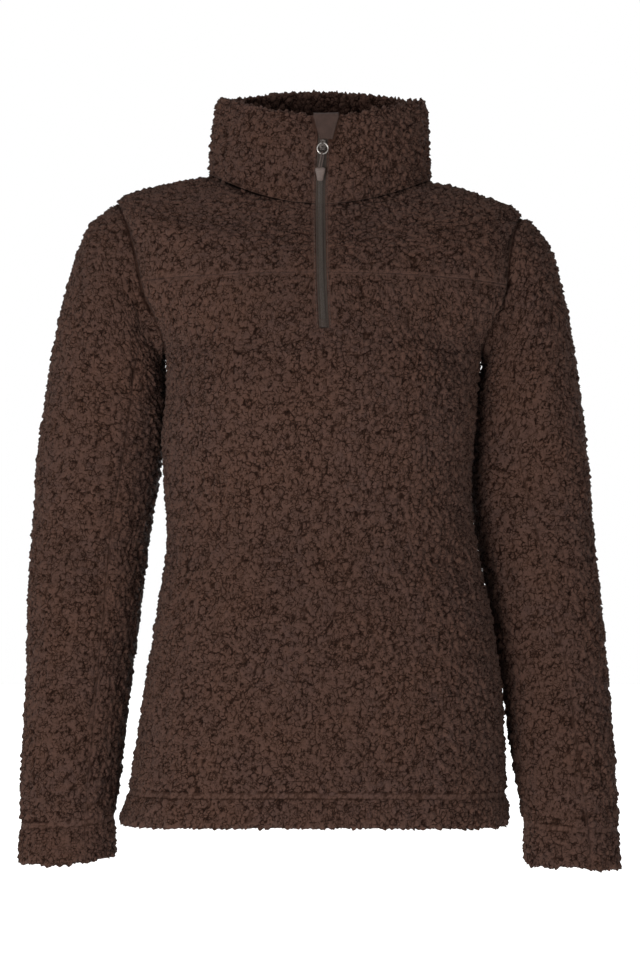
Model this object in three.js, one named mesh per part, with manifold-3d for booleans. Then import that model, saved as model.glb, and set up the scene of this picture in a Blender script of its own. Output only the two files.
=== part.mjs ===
// Sherpa fleece pullover with a funnel collar and a short front zip, filled out as if worn.
// Millimetres, +Z up. The front faces -Y and the wearer's left arm is at +X.
// The origin is at the base of the neck, where the wearer's shoulders carry the garment.
// Left and right in the names are the viewer's, as seen from the front.

import * as THREE from 'three';
import { mergeVertices } from 'three/addons/utils/BufferGeometryUtils.js';
import Module from 'manifold-3d';

// Driving dimensions
const WALL = 6;                  // sherpa cloth: knitted backing with its pile
const HEM_WALL = 9.5;            // the turned-up band at hem and cuffs
const COLLAR_WALL = 11;          // the collar is the same cloth folded over at its top edge
const SEAM_GAP = 0.3;            // two pieces never touch at a seam
const SEAM_PRESS = 2;            // how far the pile is pressed down along a seam
const SIDE_SEAM_SHARE = 0.4;     // share of that along the side seams, up to the next height
const SIDE_SEAM_TOP = 0.6;
const SEAM_STRIP = 7;            // width of that pressed strip
const HEM_BAND = 30;             // stitch line above the edge of the hem
const CUFF_BAND = 37;            // and of the cuffs
const BAND_GROOVE = 2.6;         // depth of the groove that the stitches pull in
const GROOVE_WIDTH = 4.5;
const EDGE_ROUND = 5;            // height over which the lower edge is rounded
const EDGE_OUTER = 3;            // rounding of the lower edge, outside and inside
const EDGE_INNER = 2.5;
const NECK_EDGE = 8;             // level width of the body's edge under the collar
const MITRE_LIMIT = 1.5;         // longest mitre at a sharp crease, in walls

const ARMHOLE = { low: 0.64, high: 0.83, front: 46, back: 64 };   // heights on the body, half depths
const ARMHOLE_STEPS = 12;        // rows of the body between underarm and shoulder tip
const YOKE_STEP = 6;             // the yoke seam is on this row of the armhole
const SLOT_STEP = 3;             // the zip's lower end is on this row
const UNDER_STEPS = 4;           // rows of the armhole, on each side, that the under sleeve takes
const SIDE_COLUMNS = 10;         // from the side to the zip
const BACK_COLUMNS = 20;
const EDGE_COLUMN = 0.05;        // share of a panel's width taken by the column beside its seam
const ZIP_COLUMN = 0.06;         // the same beside the zip

const ZIP = {
  gap: 5, tapeIn: 0.3, tapeOut: 4.7, tapeDepth: 3, tapeThick: 0.8,
  coilHalf: 2.4, coilDepth: 1.3, coilThick: 1.4, steps: 18, topSteps: 4,
};
const ZIP_PRESS = 2.7;           // pile pressed down beside the zip
const ZIP_STRIP = 12;            // reach of that strip from the middle of the zip
const GUARD_STRIP = 24;          // the same at the top of the collar, under the guard
const ZIP_FLAT = 2;              // width of the strip that is pressed down fully
const GUARD_FLAT = 9.5;          // the same under the guard
const SLIDER = {
  foot: 26, head: 36, half: 3.6, back: 2.6, face: -1.3, bevel: 0.5, taper: 0.6, shoulder: 0.75,
};
const BAIL = { half: 1.1, rise: 3.8, thick: 1.1, low: 29, high: 36.4, root: 0.4, crown: 0.7 };
const CORD_BEND = 0.45;          // where both strands bend towards the tip, as a share of their drop
const GUARD = {
  middle: 6, foot: 0.69, footHalf: 6.3, topHalf: 12.4, inner: 14, depth: 0.7, thick: 1.2,
  columns: 4,
};
const PULL = {
  axis: 33, depth: -2.9, ring: 5.2, wire: 0.6, cord: 0.7, strand: 2.2, drop: 13.1, lap: 0.72,
};
const TIP = { width: 10, foot: 6.4, height: 13, thick: 3.6, bevel: 0.8, lean: -2.4 };

const BROWN = 0x3f2f28;
const BROWN_WOVEN = 0x4a3a33;
const GREY_BROWN = 0x3a3532;
const METAL = 0x6b6663;
const TIP_BROWN = 0x73615a;

// A short table: one row for each section, its columns named once
function table(columns, rows) {
  const names = columns.split(' ');
  return rows.map(row => Object.fromEntries(row.map((value, i) => [names[i], value])));
}

// The body's rings from hem to neck. Heights at the front, sides and back, half widths to each
// side, depths to front and back, and squareness, where 2 is an ellipse.
const BODY = table('at zFront zLeft zRight zBack left right front back square', [
  [0.000, -629, -634, -636, -631, 202.0, 190.0, 126, 122, 2.30],   // hem edge
  [0.045, -600, -605, -606, -602, 193.0, 187.0, 126, 121, 2.30],   // hem stitches
  [0.180, -505, -507, -508, -506, 177.0, 183.0, 124, 120, 2.30],   // hip
  [0.270, -435, -435, -435, -435, 165.0, 172.5, 120, 113, 2.30],
  [0.385, -348, -348, -348, -348, 153.5, 156.0, 112,  98, 2.25],   // waist
  [0.452, -298, -298, -298, -298, 156.5, 151.5, 118, 101, 2.25],
  [0.505, -258, -258, -258, -258, 158.5, 154.5, 127, 110, 2.25],
  [0.590, -202, -203, -203, -201, 154.0, 158.5, 138, 120, 2.25],   // bust
  [0.640, -171, -171, -172, -168, 155.0, 161.5, 136, 122, 2.20],   // underarm
  [0.735,  -93, -100, -104,  -93, 190.0, 199.0, 114, 112, 2.20],   // yoke seam
  [0.830,  -60,  -18,  -32,  -45, 204.0, 202.0,  98,  98, 2.10],   // shoulder tip
  [0.915,  -43,    0,   -9,  -10, 160.0, 160.0,  88,  88, 2.05],
  [1.000,  -25,    9,    4,   24, 112.0, 113.0,  81,  75, 2.00],   // neck seam
]);

// The collar's rings from the neck seam to the top, without the roll of its folded edge
const COLLAR = table('at zFront zLeft zRight zBack left right front back square', [
  [0.00, -25,  9,  4, 24, 112, 113, 81, 75, 2],
  [0.35,   5, 36, 33, 50, 111, 111, 82, 74, 2],
  [0.70,  38, 66, 64, 78, 107, 109, 82, 72, 2],
  [1.00,  59, 82, 80, 97, 104, 107, 79, 70, 2],
]);

// The sleeves' rings after the armhole: the outer and the inner point of each ring seen from the
// front, its middle and half depth seen from the side, how much further back the inner point is,
// and the front seam's angle from the top.
const SLEEVE = {
  left: table('at outX outZ inX inZ middle skew depth seam', [
    [0.035, 216.0,  -25, 157.5, -178,  9,  3, 55.5, 120],
    [0.075, 231.0,  -39, 157.5, -186, 10,  5, 57.5, 119],
    [0.125, 241.0,  -59, 156.0, -196, 12,  7, 60.0, 118],
    [0.185, 251.0,  -87, 155.0, -209, 15,  9, 62.0, 117],
    [0.260, 264.0, -136, 154.5, -229, 20,  9, 63.0, 116],
    [0.350, 276.0, -200, 157.0, -262, 28,  8, 62.0, 115],
    [0.450, 287.0, -275, 163.5, -305, 34,  5, 59.0, 114],
    [0.550, 292.0, -345, 171.5, -355, 36,  2, 55.0, 112],
    [0.650, 296.0, -420, 179.5, -420, 32,  0, 51.0, 113],
    [0.760, 297.0, -500, 189.0, -500, 24,  0, 47.0, 113],
    [0.870, 301.0, -585, 198.5, -585, 13,  0, 43.0, 113],
    [0.940, 301.5, -632, 204.0, -634,  6,  0, 39.5, 114],
    [1.000, 303.0, -676, 203.0, -669,  2,  0, 41.0, 115],
  ]),
  right: table('at outX outZ inX inZ middle skew depth seam', [
    [0.035, 212.0,  -36, 164.5, -179,  9,  4, 55.5, 120],
    [0.075, 224.0,  -50, 163.5, -187, 10,  6, 57.5, 119],
    [0.125, 235.0,  -71, 160.5, -197, 12,  8, 60.0, 117],
    [0.185, 243.0,  -98, 157.8, -210, 15, 10, 62.0, 114],
    [0.260, 253.0, -142, 156.0, -230, 20, 12, 63.0, 111],
    [0.350, 263.0, -205, 153.0, -262, 29, 12, 62.0, 106],
    [0.450, 272.0, -275, 151.5, -305, 36, 11, 59.0,  98],
    [0.550, 278.0, -345, 156.5, -355, 37,  9, 55.0,  90],
    [0.650, 285.0, -420, 169.5, -420, 33,  6, 51.0,  84],
    [0.760, 292.0, -500, 182.0, -500, 26,  3, 47.0,  79],
    [0.870, 298.0, -585, 193.5, -585, 14,  1, 43.0,  76],
    [0.940, 300.0, -634, 201.5, -637,  7,  0, 39.5,  73],
    [1.000, 302.0, -680, 203.0, -675,  3,  0, 41.0,  72],
  ]),
};
const SLEEVE_SQUARE = 2.1;        // squareness of the sleeves' rings
const UNDER_SLEEVE_ANGLE = 122;  // width of the under sleeve, in degrees round the arm

// The middle of the zip, seen from the front, at each height
const ZIP_LINE = table('at x', [
  [-160, 4.6], [-90, 1.4], [-20, 0.5], [20, 1.8], [70, 5.5],
]);

// The largest folds: a soft trough along a line from one point to another
const FOLDS = table('part x0 y0 z0 x1 y1 z1 width depth', [
  ['left', -244, -20, -352, -214, -20, -404, 11, 4.5],      // elbow crease
  ['left', -284, 20, -330, -246, -22, -352, 12, 3.5],
  ['left', -190, -25, -190, -215, -28, -262, 13, 4.0],      // under the armhole
  ['left', -187, -44, -98, -168, -34, -148, 10, 5.5],       // beside the front of each armhole
  ['right', 193, -44, -100, 175, -34, -150, 10, 5.5],
  ['right', 186, -30, -130, 200, -28, -200, 11, 4.5],       // along the sleeve's inner side
  ['right', 203, -24, -215, 222, -18, -300, 13, 5.0],
  ['right', 268, 20, -330, 236, -18, -366, 12, 3.5],        // elbow crease
  ['left', -232, 92, -330, -200, 88, -372, 13, 4.0],        // behind the elbows
  ['right', 232, 92, -330, 200, 88, -372, 13, 4.0],
  ['body', -120, -98, -300, -150, -52, -322, 16, 3.5],      // waist, at each side
  ['body', 118, -98, -306, 148, -50, -330, 16, 3.5],
  ['body', -118, 86, -318, -150, 40, -338, 18, 4.0],
  ['body', 116, 86, -314, 148, 40, -338, 18, 4.0],
  ['body', -112, -104, -150, -140, -84, -178, 15, 4.0],     // from the armholes to the bust
  ['body', 120, -104, -150, 148, -84, -184, 15, 4.5],
]);

const NUDGE = 1e-3;              // step for measuring a slope on a surface

// Monotone cubic through a table's column
function follow(rows, column, at) {
  const last = rows.length - 1;
  let k = 0;
  while (k < last - 1 && at > rows[k + 1].at) k += 1;
  const secant = i => (rows[i + 1][column] - rows[i][column]) / (rows[i + 1].at - rows[i].at);
  const slope = i => {
    if (i === 0) return secant(0);
    if (i === last) return secant(last - 1);
    const before = secant(i - 1);
    const after = secant(i);
    return before * after <= 0 ? 0 : 2 * before * after / (before + after);
  };
  const span = rows[k + 1].at - rows[k].at;
  const t = Math.min(Math.max((at - rows[k].at) / span, 0), 1);
  const rest = 1 - t;
  return rows[k][column] * (1 + 2 * t) * rest * rest + rows[k + 1][column] * t * t * (3 - 2 * t)
    + span * (slope(k) * t * rest * rest - slope(k + 1) * t * t * rest);
}

function rowAt(rows, at) {
  return Object.fromEntries(Object.keys(rows[0]).map(name => [name, follow(rows, name, at)]));
}

const point = (x, y, z) => new THREE.Vector3(x, y, z);
const plus = (p, direction, length) => p.clone().addScaledVector(direction, length);
const mix = (a, b, t) => a + (b - a) * t;
const soft = t => THREE.MathUtils.smoothstep(t, 0, 1);
const radians = THREE.MathUtils.degToRad;

// A point of a ring. The angle is 0 at the front, a quarter turn at +X and a half turn at the back.
function ringPoint(ring, angle) {
  const sine = Math.sin(angle);
  const cosine = Math.cos(angle);
  const half = sine >= 0 ? ring.right : ring.left;
  const depth = cosine >= 0 ? ring.front : ring.back;
  const sum = (Math.abs(sine) / half) ** ring.square + (Math.abs(cosine) / depth) ** ring.square;
  const reach = sum ** (-1 / ring.square);
  const x = reach * sine;
  const zSide = sine >= 0 ? ring.zRight : ring.zLeft;
  const zMiddle = cosine >= 0 ? ring.zFront : ring.zBack;
  return point(x, -reach * cosine, mix(zMiddle, zSide, (x / half) ** 2));
}

// The angle at which a ring's front reaches a given x
function angleAtX(ring, x) {
  const half = x >= 0 ? ring.right : ring.left;
  const share = 1 - (Math.abs(x) / half) ** ring.square;
  return Math.atan2(x, ring.front * share ** (1 / ring.square));
}

function foldDepth(part, p) {
  let sum = 0;
  for (const fold of FOLDS.filter(row => row.part === part)) {
    const start = point(fold.x0, fold.y0, fold.z0);
    const line = new THREE.Line3(start, point(fold.x1, fold.y1, fold.z1));
    const foot = line.closestPointToPoint(p, true, point(0, 0, 0));
    sum += fold.depth * Math.exp(-((foot.distanceTo(p) / fold.width) ** 2));
  }
  return sum;
}

// Outward normal and the two directions along a surface given as place(a, b)
function slopes(place, a, b) {
  const along = place(a + NUDGE, b).sub(place(a - NUDGE, b)).normalize();
  const low = Math.max(b - NUDGE, 0);
  const high = Math.min(b + NUDGE, 1);
  const up = place(a, high).sub(place(a, low)).normalize();
  return { along, up, normal: along.clone().cross(up).normalize() };
}

// The body, smooth and then with its folds
const bodyBase = (angle, at) => ringPoint(rowAt(BODY, at), angle);

function bodyPlace(angle, at) {
  const base = bodyBase(angle, at);
  const { normal } = slopes(bodyBase, angle, at);
  return plus(base, normal, -foldDepth('body', base));
}

// The armhole: a loop on the body. The turn is 0 at the shoulder tip, a quarter at the front and
// a half under the arm.
function armhole(side, turn) {
  const share = (1 + Math.cos(turn)) / 2;
  const at = mix(ARMHOLE.low, ARMHOLE.high, share);
  const ring = rowAt(BODY, at);
  const sine = Math.sin(turn);
  const half = side > 0 ? ring.right : ring.left;
  const depth = sine >= 0 ? ring.front : ring.back;
  const y = Math.abs(sine) * (sine >= 0 ? ARMHOLE.front : ARMHOLE.back);
  const x = half * (1 - (y / depth) ** ring.square) ** (1 / ring.square);
  const angle = Math.atan2(x, sine >= 0 ? y : -y);
  return { angle: side * angle, at };
}

const sideName = side => (side > 0 ? 'right' : 'left');

// A sleeve's ring: the turn is 0 outside, a quarter at the front and a half towards the body
function sleeveRing(side, ring, turn) {
  const power = value => Math.sign(value) * Math.abs(value) ** (2 / SLEEVE_SQUARE);
  const out = (1 + power(Math.cos(turn))) / 2;
  const y = ring.middle + ring.skew * (1 - out) - ring.depth * power(Math.sin(turn));
  return point(side * mix(ring.inX, ring.outX, out), y, mix(ring.inZ, ring.outZ, out));
}

// A smooth curve through the armhole and every ring at the same turn
function sleeveBase(side, turn, at) {
  const rows = SLEEVE[sideName(side)];
  const loop = armhole(side, turn);
  const stops = [0, ...rows.map(row => row.at)];
  const last = stops.length - 1;
  const stop = k => (k === 0 ? bodyBase(loop.angle, loop.at) : sleeveRing(side, rows[k - 1], turn));
  let k = 0;
  while (k < last - 1 && at > stops[k + 1]) k += 1;
  const slope = i => {
    const low = Math.max(i - 1, 0);
    const high = Math.min(i + 1, last);
    return stop(high).sub(stop(low)).divideScalar(stops[high] - stops[low]);
  };
  const span = stops[k + 1] - stops[k];
  const t = (at - stops[k]) / span;
  const rest = 1 - t;
  return stop(k).multiplyScalar((1 + 2 * t) * rest * rest)
    .addScaledVector(stop(k + 1), t * t * (3 - 2 * t))
    .addScaledVector(slope(k), span * t * rest * rest)
    .addScaledVector(slope(k + 1), -span * t * t * rest);
}

function sleeveSlopes(side, turn, at) {
  const found = slopes((a, b) => sleeveBase(side, a, b), turn, at);
  found.normal.multiplyScalar(side);
  return found;
}

// Where body and sleeve meet, their ends share one face: its direction, and the way across it
function armholeFace(side, turn) {
  const loop = armhole(side, turn);
  const base = bodyBase(loop.angle, loop.at);
  const ofBody = slopes(bodyBase, loop.angle, loop.at).normal;
  const ofSleeve = sleeveSlopes(side, turn, 0);
  const face = ofBody.clone().add(ofSleeve.normal).divideScalar(1 + ofBody.dot(ofSleeve.normal));
  face.clampLength(0, MITRE_LIMIT).multiplyScalar(WALL);
  const across = face.clone().cross(ofSleeve.along).normalize();
  if (across.dot(ofSleeve.up) < 0) across.negate();
  return { base, face, across };
}

// Wall and pressing near a turned-up edge, from the distance to that edge and the height of its
// stitch line
function band(distance, height) {
  const edge = Math.max(1 - distance / EDGE_ROUND, 0) ** 2;
  const groove = BAND_GROOVE * Math.exp(-(((distance - height) / GROOVE_WIDTH) ** 2));
  const doubled = soft((height - distance) / SEAM_STRIP);
  return {
    press: groove + EDGE_OUTER * edge,
    wall: mix(WALL, HEM_WALL, doubled) - EDGE_INNER * edge,
  };
}

const seamPress = distance => SEAM_PRESS * soft(1 - distance / SEAM_STRIP);

// A closed wall over a grid of columns and rows, from place(i, j) giving its outer and inner
// points. Cells that keep(i, j) refuses are left open.
function wallGeometry(columns, rows, place, keep = () => true) {
  const positions = [];
  const indices = [];
  const vertex = (i, j, inner) => 2 * (j * (columns + 1) + i) + inner;
  for (let j = 0; j <= rows; j += 1) {
    for (let i = 0; i <= columns; i += 1) {
      const { outer, inner } = place(i, j);
      positions.push(...outer.toArray(), ...inner.toArray());
    }
  }
  const kept = (i, j) => i >= 0 && j >= 0 && i < columns && j < rows && keep(i, j);
  const quad = (a, b, c, d) => indices.push(a, b, c, a, c, d);
  // Two pieces that meet at a seam split its cells the same way
  const seamOrder = k => positions[3 * k] / 3 + positions[3 * k + 1] / 5 + positions[3 * k + 2];
  for (let j = 0; j < rows; j += 1) {
    for (let i = 0; i < columns; i += 1) {
      if (!kept(i, j)) continue;
      const corners = [[i, j], [i + 1, j], [i + 1, j + 1], [i, j + 1]];
      const beyond = [[i, j - 1], [i + 1, j], [i, j + 1], [i - 1, j]];
      quad(...corners.map(([a, b]) => vertex(a, b, 0)));
      quad(...corners.map(([a, b]) => vertex(a, b, 1)).reverse());
      corners.forEach(([a, b], side) => {
        if (kept(...beyond[side])) return;
        const [c, d] = corners[(side + 1) % 4];
        const [first, second] = [vertex(a, b, 0), vertex(c, d, 0)];
        if (seamOrder(first) < seamOrder(second)) quad(first, first + 1, second + 1, second);
        else quad(second, first, first + 1, second + 1);
      });
    }
  }
  const geometry = new THREE.BufferGeometry();
  geometry.setAttribute('position', new THREE.Float32BufferAttribute(positions, 3));
  geometry.setIndex(indices);
  return withoutLooseVertices(geometry);
}

function withoutLooseVertices(geometry) {
  const used = new Map();
  const positions = [];
  const source = geometry.getAttribute('position');
  const indices = Array.from(geometry.index.array, index => {
    if (!used.has(index)) {
      used.set(index, used.size);
      positions.push(source.getX(index), source.getY(index), source.getZ(index));
    }
    return used.get(index);
  });
  const result = new THREE.BufferGeometry();
  result.setAttribute('position', new THREE.Float32BufferAttribute(positions, 3));
  result.setIndex(indices);
  return result;
}

function flipped(geometry) {
  const indices = geometry.index.array;
  for (let k = 0; k < indices.length; k += 3) {
    [indices[k], indices[k + 1]] = [indices[k + 1], indices[k]];
  }
  return geometry;
}

// Heights of the body's rows
const LOW_ROWS = [
  0, 0.004, 0.02, 0.037, 0.045, 0.053, 0.09, 0.15, 0.21, 0.27, 0.335, 0.4, 0.45, 0.505, 0.55,
  0.59, 0.618,
];
const ARM_ROWS = Array.from({ length: ARMHOLE_STEPS + 1 }, (_, k) => (
  mix(ARMHOLE.low, ARMHOLE.high, (1 - Math.cos(Math.PI * k / ARMHOLE_STEPS)) / 2)));
const HIGH_ROWS = [0.842, 0.857, 0.877, 0.903, 0.935, 0.967, 1];
const SLOT_AT = ARM_ROWS[SLOT_STEP];
const LEFT = -1;
const RIGHT = 1;
const FRONT = 1;
const BACK = -1;
const QUARTER = Math.PI / 2;

// Shares of a panel's width for its columns, with a narrow one beside each edge
function spread(count, first, last) {
  const inside = Array.from({ length: count - 1 }, (_, k) => mix(first, 1 - last, k / (count - 2)));
  return [0, ...inside, 1];
}

const zipX = z => follow(ZIP_LINE, 'x', z);

function zipAngle(rows, at, side) {
  const ring = rowAt(rows, at);
  return angleAtX(ring, zipX(ring.zFront) + side * ZIP.gap);
}

// How far the pile is pressed down beside the zip
function zipPress(p, strip, flat) {
  const distance = Math.abs(p.x - zipX(p.z));
  return ZIP_PRESS * soft((strip - distance) / (strip - ZIP.gap - flat));
}

// A body panel's side edge at a height: the armhole between underarm and shoulder tip, elsewhere
// the side or shoulder seam
function sideEdge(side, face, at) {
  if (at < ARMHOLE.low || at > ARMHOLE.high) return { angle: side * QUARTER * (2 - face) };
  const share = (at - ARMHOLE.low) / (ARMHOLE.high - ARMHOLE.low);
  const turn = face * Math.acos(Math.min(Math.max(2 * share - 1, -1), 1));
  const { angle } = armhole(side, turn);
  return { angle, turn, side, ends: Math.min(share, 1 - share) < NUDGE };
}

// The outer and inner points of a body panel at one place. The seams say how far the pile is
// pressed, which armhole is met, and the shifts that keep the seam gap.
function bodyVertex(angle, at, seams) {
  const { along, up, normal } = slopes(bodyBase, angle, at);
  let base = bodyPlace(angle, at);
  const hem = band(base.z - bodyBase(angle, 0).z, HEM_BAND);
  const press = Math.max(hem.press, seams.press);
  let inward = normal.clone().multiplyScalar(hem.wall);
  let pressed = normal;
  if (seams.armhole) {
    const meeting = armholeFace(seams.armhole.side, seams.armhole.turn);
    base = plus(meeting.base, meeting.across, -SEAM_GAP / 2);
    inward = meeting.face;
    pressed = meeting.face.clone().normalize();
  }
  if (at === 1) {
    pressed = point(normal.x, normal.y, 0).normalize();
    inward = pressed.clone().multiplyScalar(NECK_EDGE);
  }
  base = plus(plus(base, along, seams.alongShift), up, seams.upShift);
  return { outer: plus(base, pressed, -press), inner: plus(base, inward, -1) };
}

// A body panel over its rows. The columns at a height come as angles, first and last its edges.
function bodyPanel({ levels, columns, anglesAt, edges, lowGap = 0, highGap = 0, keep }) {
  const seamLevels = [lowGap ? levels[0] : null, highGap ? levels.at(-1) : null].filter(Boolean);
  return wallGeometry(columns, levels.length - 1, (i, j) => {
    const at = levels[j];
    const angles = anglesAt(at);
    const flat = bodyBase(angles[i], at);
    const seams = { press: 0, alongShift: 0, upShift: 0 };
    const press = value => { seams.press = Math.max(seams.press, value); };
    edges.forEach((edge, end) => {
      if (!edge) return;
      const column = end === 0 ? 0 : columns;
      const sewn = mix(SIDE_SEAM_SHARE, 1, soft((at - SIDE_SEAM_TOP) / (ARMHOLE.low - SIDE_SEAM_TOP)));
      press(sewn * seamPress(flat.distanceTo(bodyBase(angles[column], at))));
      if (i !== column) return;
      const found = edge(at);
      if (found.turn !== undefined) seams.armhole = found;
      if (found.turn === undefined || found.ends) {
        seams.alongShift = (end === 0 ? SEAM_GAP : -SEAM_GAP) / 2;
      }
    });
    for (const level of seamLevels) press(seamPress(flat.distanceTo(bodyBase(angles[i], level))));
    if (flat.y < 0 && at >= SLOT_AT) press(zipPress(flat, ZIP_STRIP, ZIP_FLAT));
    if (j === 0) seams.upShift = lowGap;
    if (j === levels.length - 1) seams.upShift = -highGap;
    return bodyVertex(angles[i], at, seams);
  }, keep);
}

const HALF_FRONT = spread(SIDE_COLUMNS, EDGE_COLUMN, ZIP_COLUMN);
const edgeAt = (side, face) => at => sideEdge(side, face, at);

// Angles from a side edge to the edge beside the zip
function halfFront(side, at) {
  const edge = sideEdge(side, FRONT, at).angle;
  return HALF_FRONT.map(share => mix(edge, zipAngle(BODY, at, side), share));
}

function frontBodyGeometry() {
  const levels = [...LOW_ROWS, ...ARM_ROWS.slice(0, YOKE_STEP + 1)];
  return bodyPanel({
    levels,
    columns: 2 * SIDE_COLUMNS + 1,
    anglesAt: at => [...halfFront(LEFT, at), ...halfFront(RIGHT, at).reverse()],
    edges: [edgeAt(LEFT, FRONT), edgeAt(RIGHT, FRONT)],
    highGap: SEAM_GAP / 2,
    keep: (i, j) => i !== SIDE_COLUMNS || levels[j] < SLOT_AT,
  });
}

function yokeGeometry(side) {
  const left = side === LEFT;
  return bodyPanel({
    levels: [...ARM_ROWS.slice(YOKE_STEP), ...HIGH_ROWS],
    columns: SIDE_COLUMNS,
    anglesAt: at => (left ? halfFront(side, at) : halfFront(side, at).reverse()),
    edges: left ? [edgeAt(side, FRONT), null] : [null, edgeAt(side, FRONT)],
    lowGap: SEAM_GAP / 2,
    highGap: SEAM_GAP / 2,
  });
}

function backBodyGeometry() {
  const shares = spread(BACK_COLUMNS, EDGE_COLUMN, EDGE_COLUMN);
  const turn = angle => (angle < 0 ? angle + 2 * Math.PI : angle);
  return bodyPanel({
    levels: [...LOW_ROWS, ...ARM_ROWS, ...HIGH_ROWS],
    columns: BACK_COLUMNS,
    anglesAt: at => {
      const ends = [RIGHT, LEFT].map(side => backAngle(side, at));
      return shares.map(share => mix(turn(ends[0]), turn(ends[1]), share));
    },
    edges: [edgeAt(RIGHT, BACK), edgeAt(LEFT, BACK)],
    highGap: SEAM_GAP / 2,
  });
}

function backAngle(side, at) {
  const edge = sideEdge(side, BACK, at);
  return edge.turn === undefined ? side * QUARTER : edge.angle;
}

const SLEEVE_ROWS = [
  0, 0.018, 0.035, 0.055, 0.08, 0.11, 0.15, 0.2, 0.26, 0.32, 0.39, 0.45, 0.51, 0.57, 0.64, 0.72,
  0.8, 0.88, 0.928, 0.941, 0.95, 0.96, 0.982, 0.995, 1,
];

function sleeveVertex(side, turn, at, seams) {
  const { along, up, normal } = sleeveSlopes(side, turn, at);
  let base = sleeveBase(side, turn, at);
  const edge = band(base.distanceTo(sleeveBase(side, turn, 1)), CUFF_BAND);
  let inward = normal.clone().multiplyScalar(edge.wall);
  let pressed = normal;
  if (at === 0) {
    const meeting = armholeFace(side, turn);
    base = plus(meeting.base, meeting.across, SEAM_GAP / 2);
    inward = meeting.face;
    pressed = meeting.face.clone().normalize();
  } else {
    base = plus(base, normal, -foldDepth(sideName(side), base));
  }
  base = plus(base, along, seams.alongShift);
  const press = Math.max(edge.press, seams.press);
  return { outer: plus(base, pressed, -press), inner: plus(base, inward, -1) };
}

// The turns of a sleeve's front and back seam
function sleeveSeams(side, at) {
  const rows = SLEEVE[sideName(side)];
  const start = Math.PI * (1 - UNDER_STEPS / ARMHOLE_STEPS);
  const share = Math.min(at / rows[0].at, 1);
  const front = mix(start, radians(follow(rows, 'seam', at)), share);
  const width = mix(2 * (Math.PI - start), radians(UNDER_SLEEVE_ANGLE), share);
  return { front, back: front + width };
}

function sleeveGeometry(side, piece) {
  const under = piece === 'under';
  const columns = 2 * (under ? UNDER_STEPS : ARMHOLE_STEPS - UNDER_STEPS);
  const geometry = wallGeometry(columns, SLEEVE_ROWS.length - 1, (i, j) => {
    const at = SLEEVE_ROWS[j];
    const { front, back } = sleeveSeams(side, at);
    const from = under ? front : back - 2 * Math.PI;
    const to = under ? back : front;
    const turn = mix(from, to, i / columns);
    const base = sleeveBase(side, turn, at);
    const seamPlaces = [[from, at], [to, at], [turn, 0]].map(place => sleeveBase(side, ...place));
    const press = seamPress(Math.min(...seamPlaces.map(place => place.distanceTo(base))));
    const alongShift = i === 0 ? SEAM_GAP / 2 : i === columns ? -SEAM_GAP / 2 : 0;
    return sleeveVertex(side, turn, at, { press, alongShift });
  });
  return side === RIGHT ? geometry : flipped(geometry);
}

// Stations up the collar and over its rolled top edge
const COLLAR_STATIONS = [
  ...[0, 0.07, 0.25, 0.45, 0.65, 0.83, 1].map(at => ({ at, roll: 0 })),
  ...[24, 48, 74].map(degrees => ({ at: 1, roll: radians(degrees) })),
];

// A place in the collar, at a reach from the middle of its wall
function collarPlace(angle, { at, roll }, reach) {
  const base = ringPoint(rowAt(COLLAR, at), angle);
  const { normal } = slopes((a, b) => ringPoint(rowAt(COLLAR, b), a), angle, at);
  const outward = point(normal.x, normal.y, 0).normalize();
  const across = reach * Math.cos(roll) - COLLAR_WALL / 2;
  return plus(base, outward, across).add(point(0, 0, Math.abs(reach) * Math.sin(roll)));
}

// The collar's columns stand over those of the panels that it is sewn to
function collarAngles(at) {
  const right = halfFront(RIGHT, 1).reverse().map(angle => angle / QUARTER);
  const left = halfFront(LEFT, 1).map(angle => -angle / QUARTER);
  const back = spread(BACK_COLUMNS, EDGE_COLUMN, EDGE_COLUMN).map(share => QUARTER + Math.PI * share);
  const onHalf = (share, first, side) => {
    const zip = side * zipAngle(COLLAR, at, side) / QUARTER;
    return QUARTER * (1 - (1 - share) * (1 - zip) / (1 - first));
  };
  return [
    ...right.map(share => onHalf(share, right[0], RIGHT)),
    ...back.slice(1, -1),
    ...left.map(share => 2 * Math.PI - onHalf(share, left.at(-1), LEFT)),
  ];
}

function collarGeometry() {
  const columns = 2 * SIDE_COLUMNS + BACK_COLUMNS;
  return wallGeometry(columns, COLLAR_STATIONS.length - 1, (i, j) => {
    const station = COLLAR_STATIONS[j];
    const angle = collarAngles(station.at)[i];
    const flat = collarPlace(angle, station, COLLAR_WALL / 2);
    const foot = collarPlace(angle, COLLAR_STATIONS[0], COLLAR_WALL / 2);
    const high = soft((station.at - 0.4) / 0.3);
    const strip = mix(ZIP_STRIP, GUARD_STRIP, high);
    const atZip = flat.y < 0 ? zipPress(flat, strip, mix(ZIP_FLAT, GUARD_FLAT, high)) : 0;
    const press = Math.max(atZip, seamPress(flat.distanceTo(foot)));
    const outer = collarPlace(angle, station, COLLAR_WALL / 2 - press);
    const inner = collarPlace(angle, station, atZip - COLLAR_WALL / 2);
    if (j === 0) [outer, inner].forEach(place => { place.z += SEAM_GAP / 2; });
    return { outer, inner };
  });
}

// The front's profile at the zip: its depth at each height
const PROFILE_ON_COLLAR = [0.2, 0.35, 0.5, 0.7, 0.85, 1];
const ZIP_PROFILE = [
  ...[...ARM_ROWS, ...HIGH_ROWS].map(at => rowAt(BODY, at)),
  ...PROFILE_ON_COLLAR.map(at => rowAt(COLLAR, at)),
].map(row => ({ at: row.zFront, y: -row.front }));

// A place on the zip, from its height, its distance from the zip's middle and its depth
function zipPlace(z, across, depth) {
  const y = follow(ZIP_PROFILE, 'y', z);
  const slope = (follow(ZIP_PROFILE, 'y', z + 1) - follow(ZIP_PROFILE, 'y', z - 1)) / 2;
  const normal = point(0, -1, slope).normalize();
  return plus(point(zipX(z) + across, y, z), normal, -depth);
}

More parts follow.
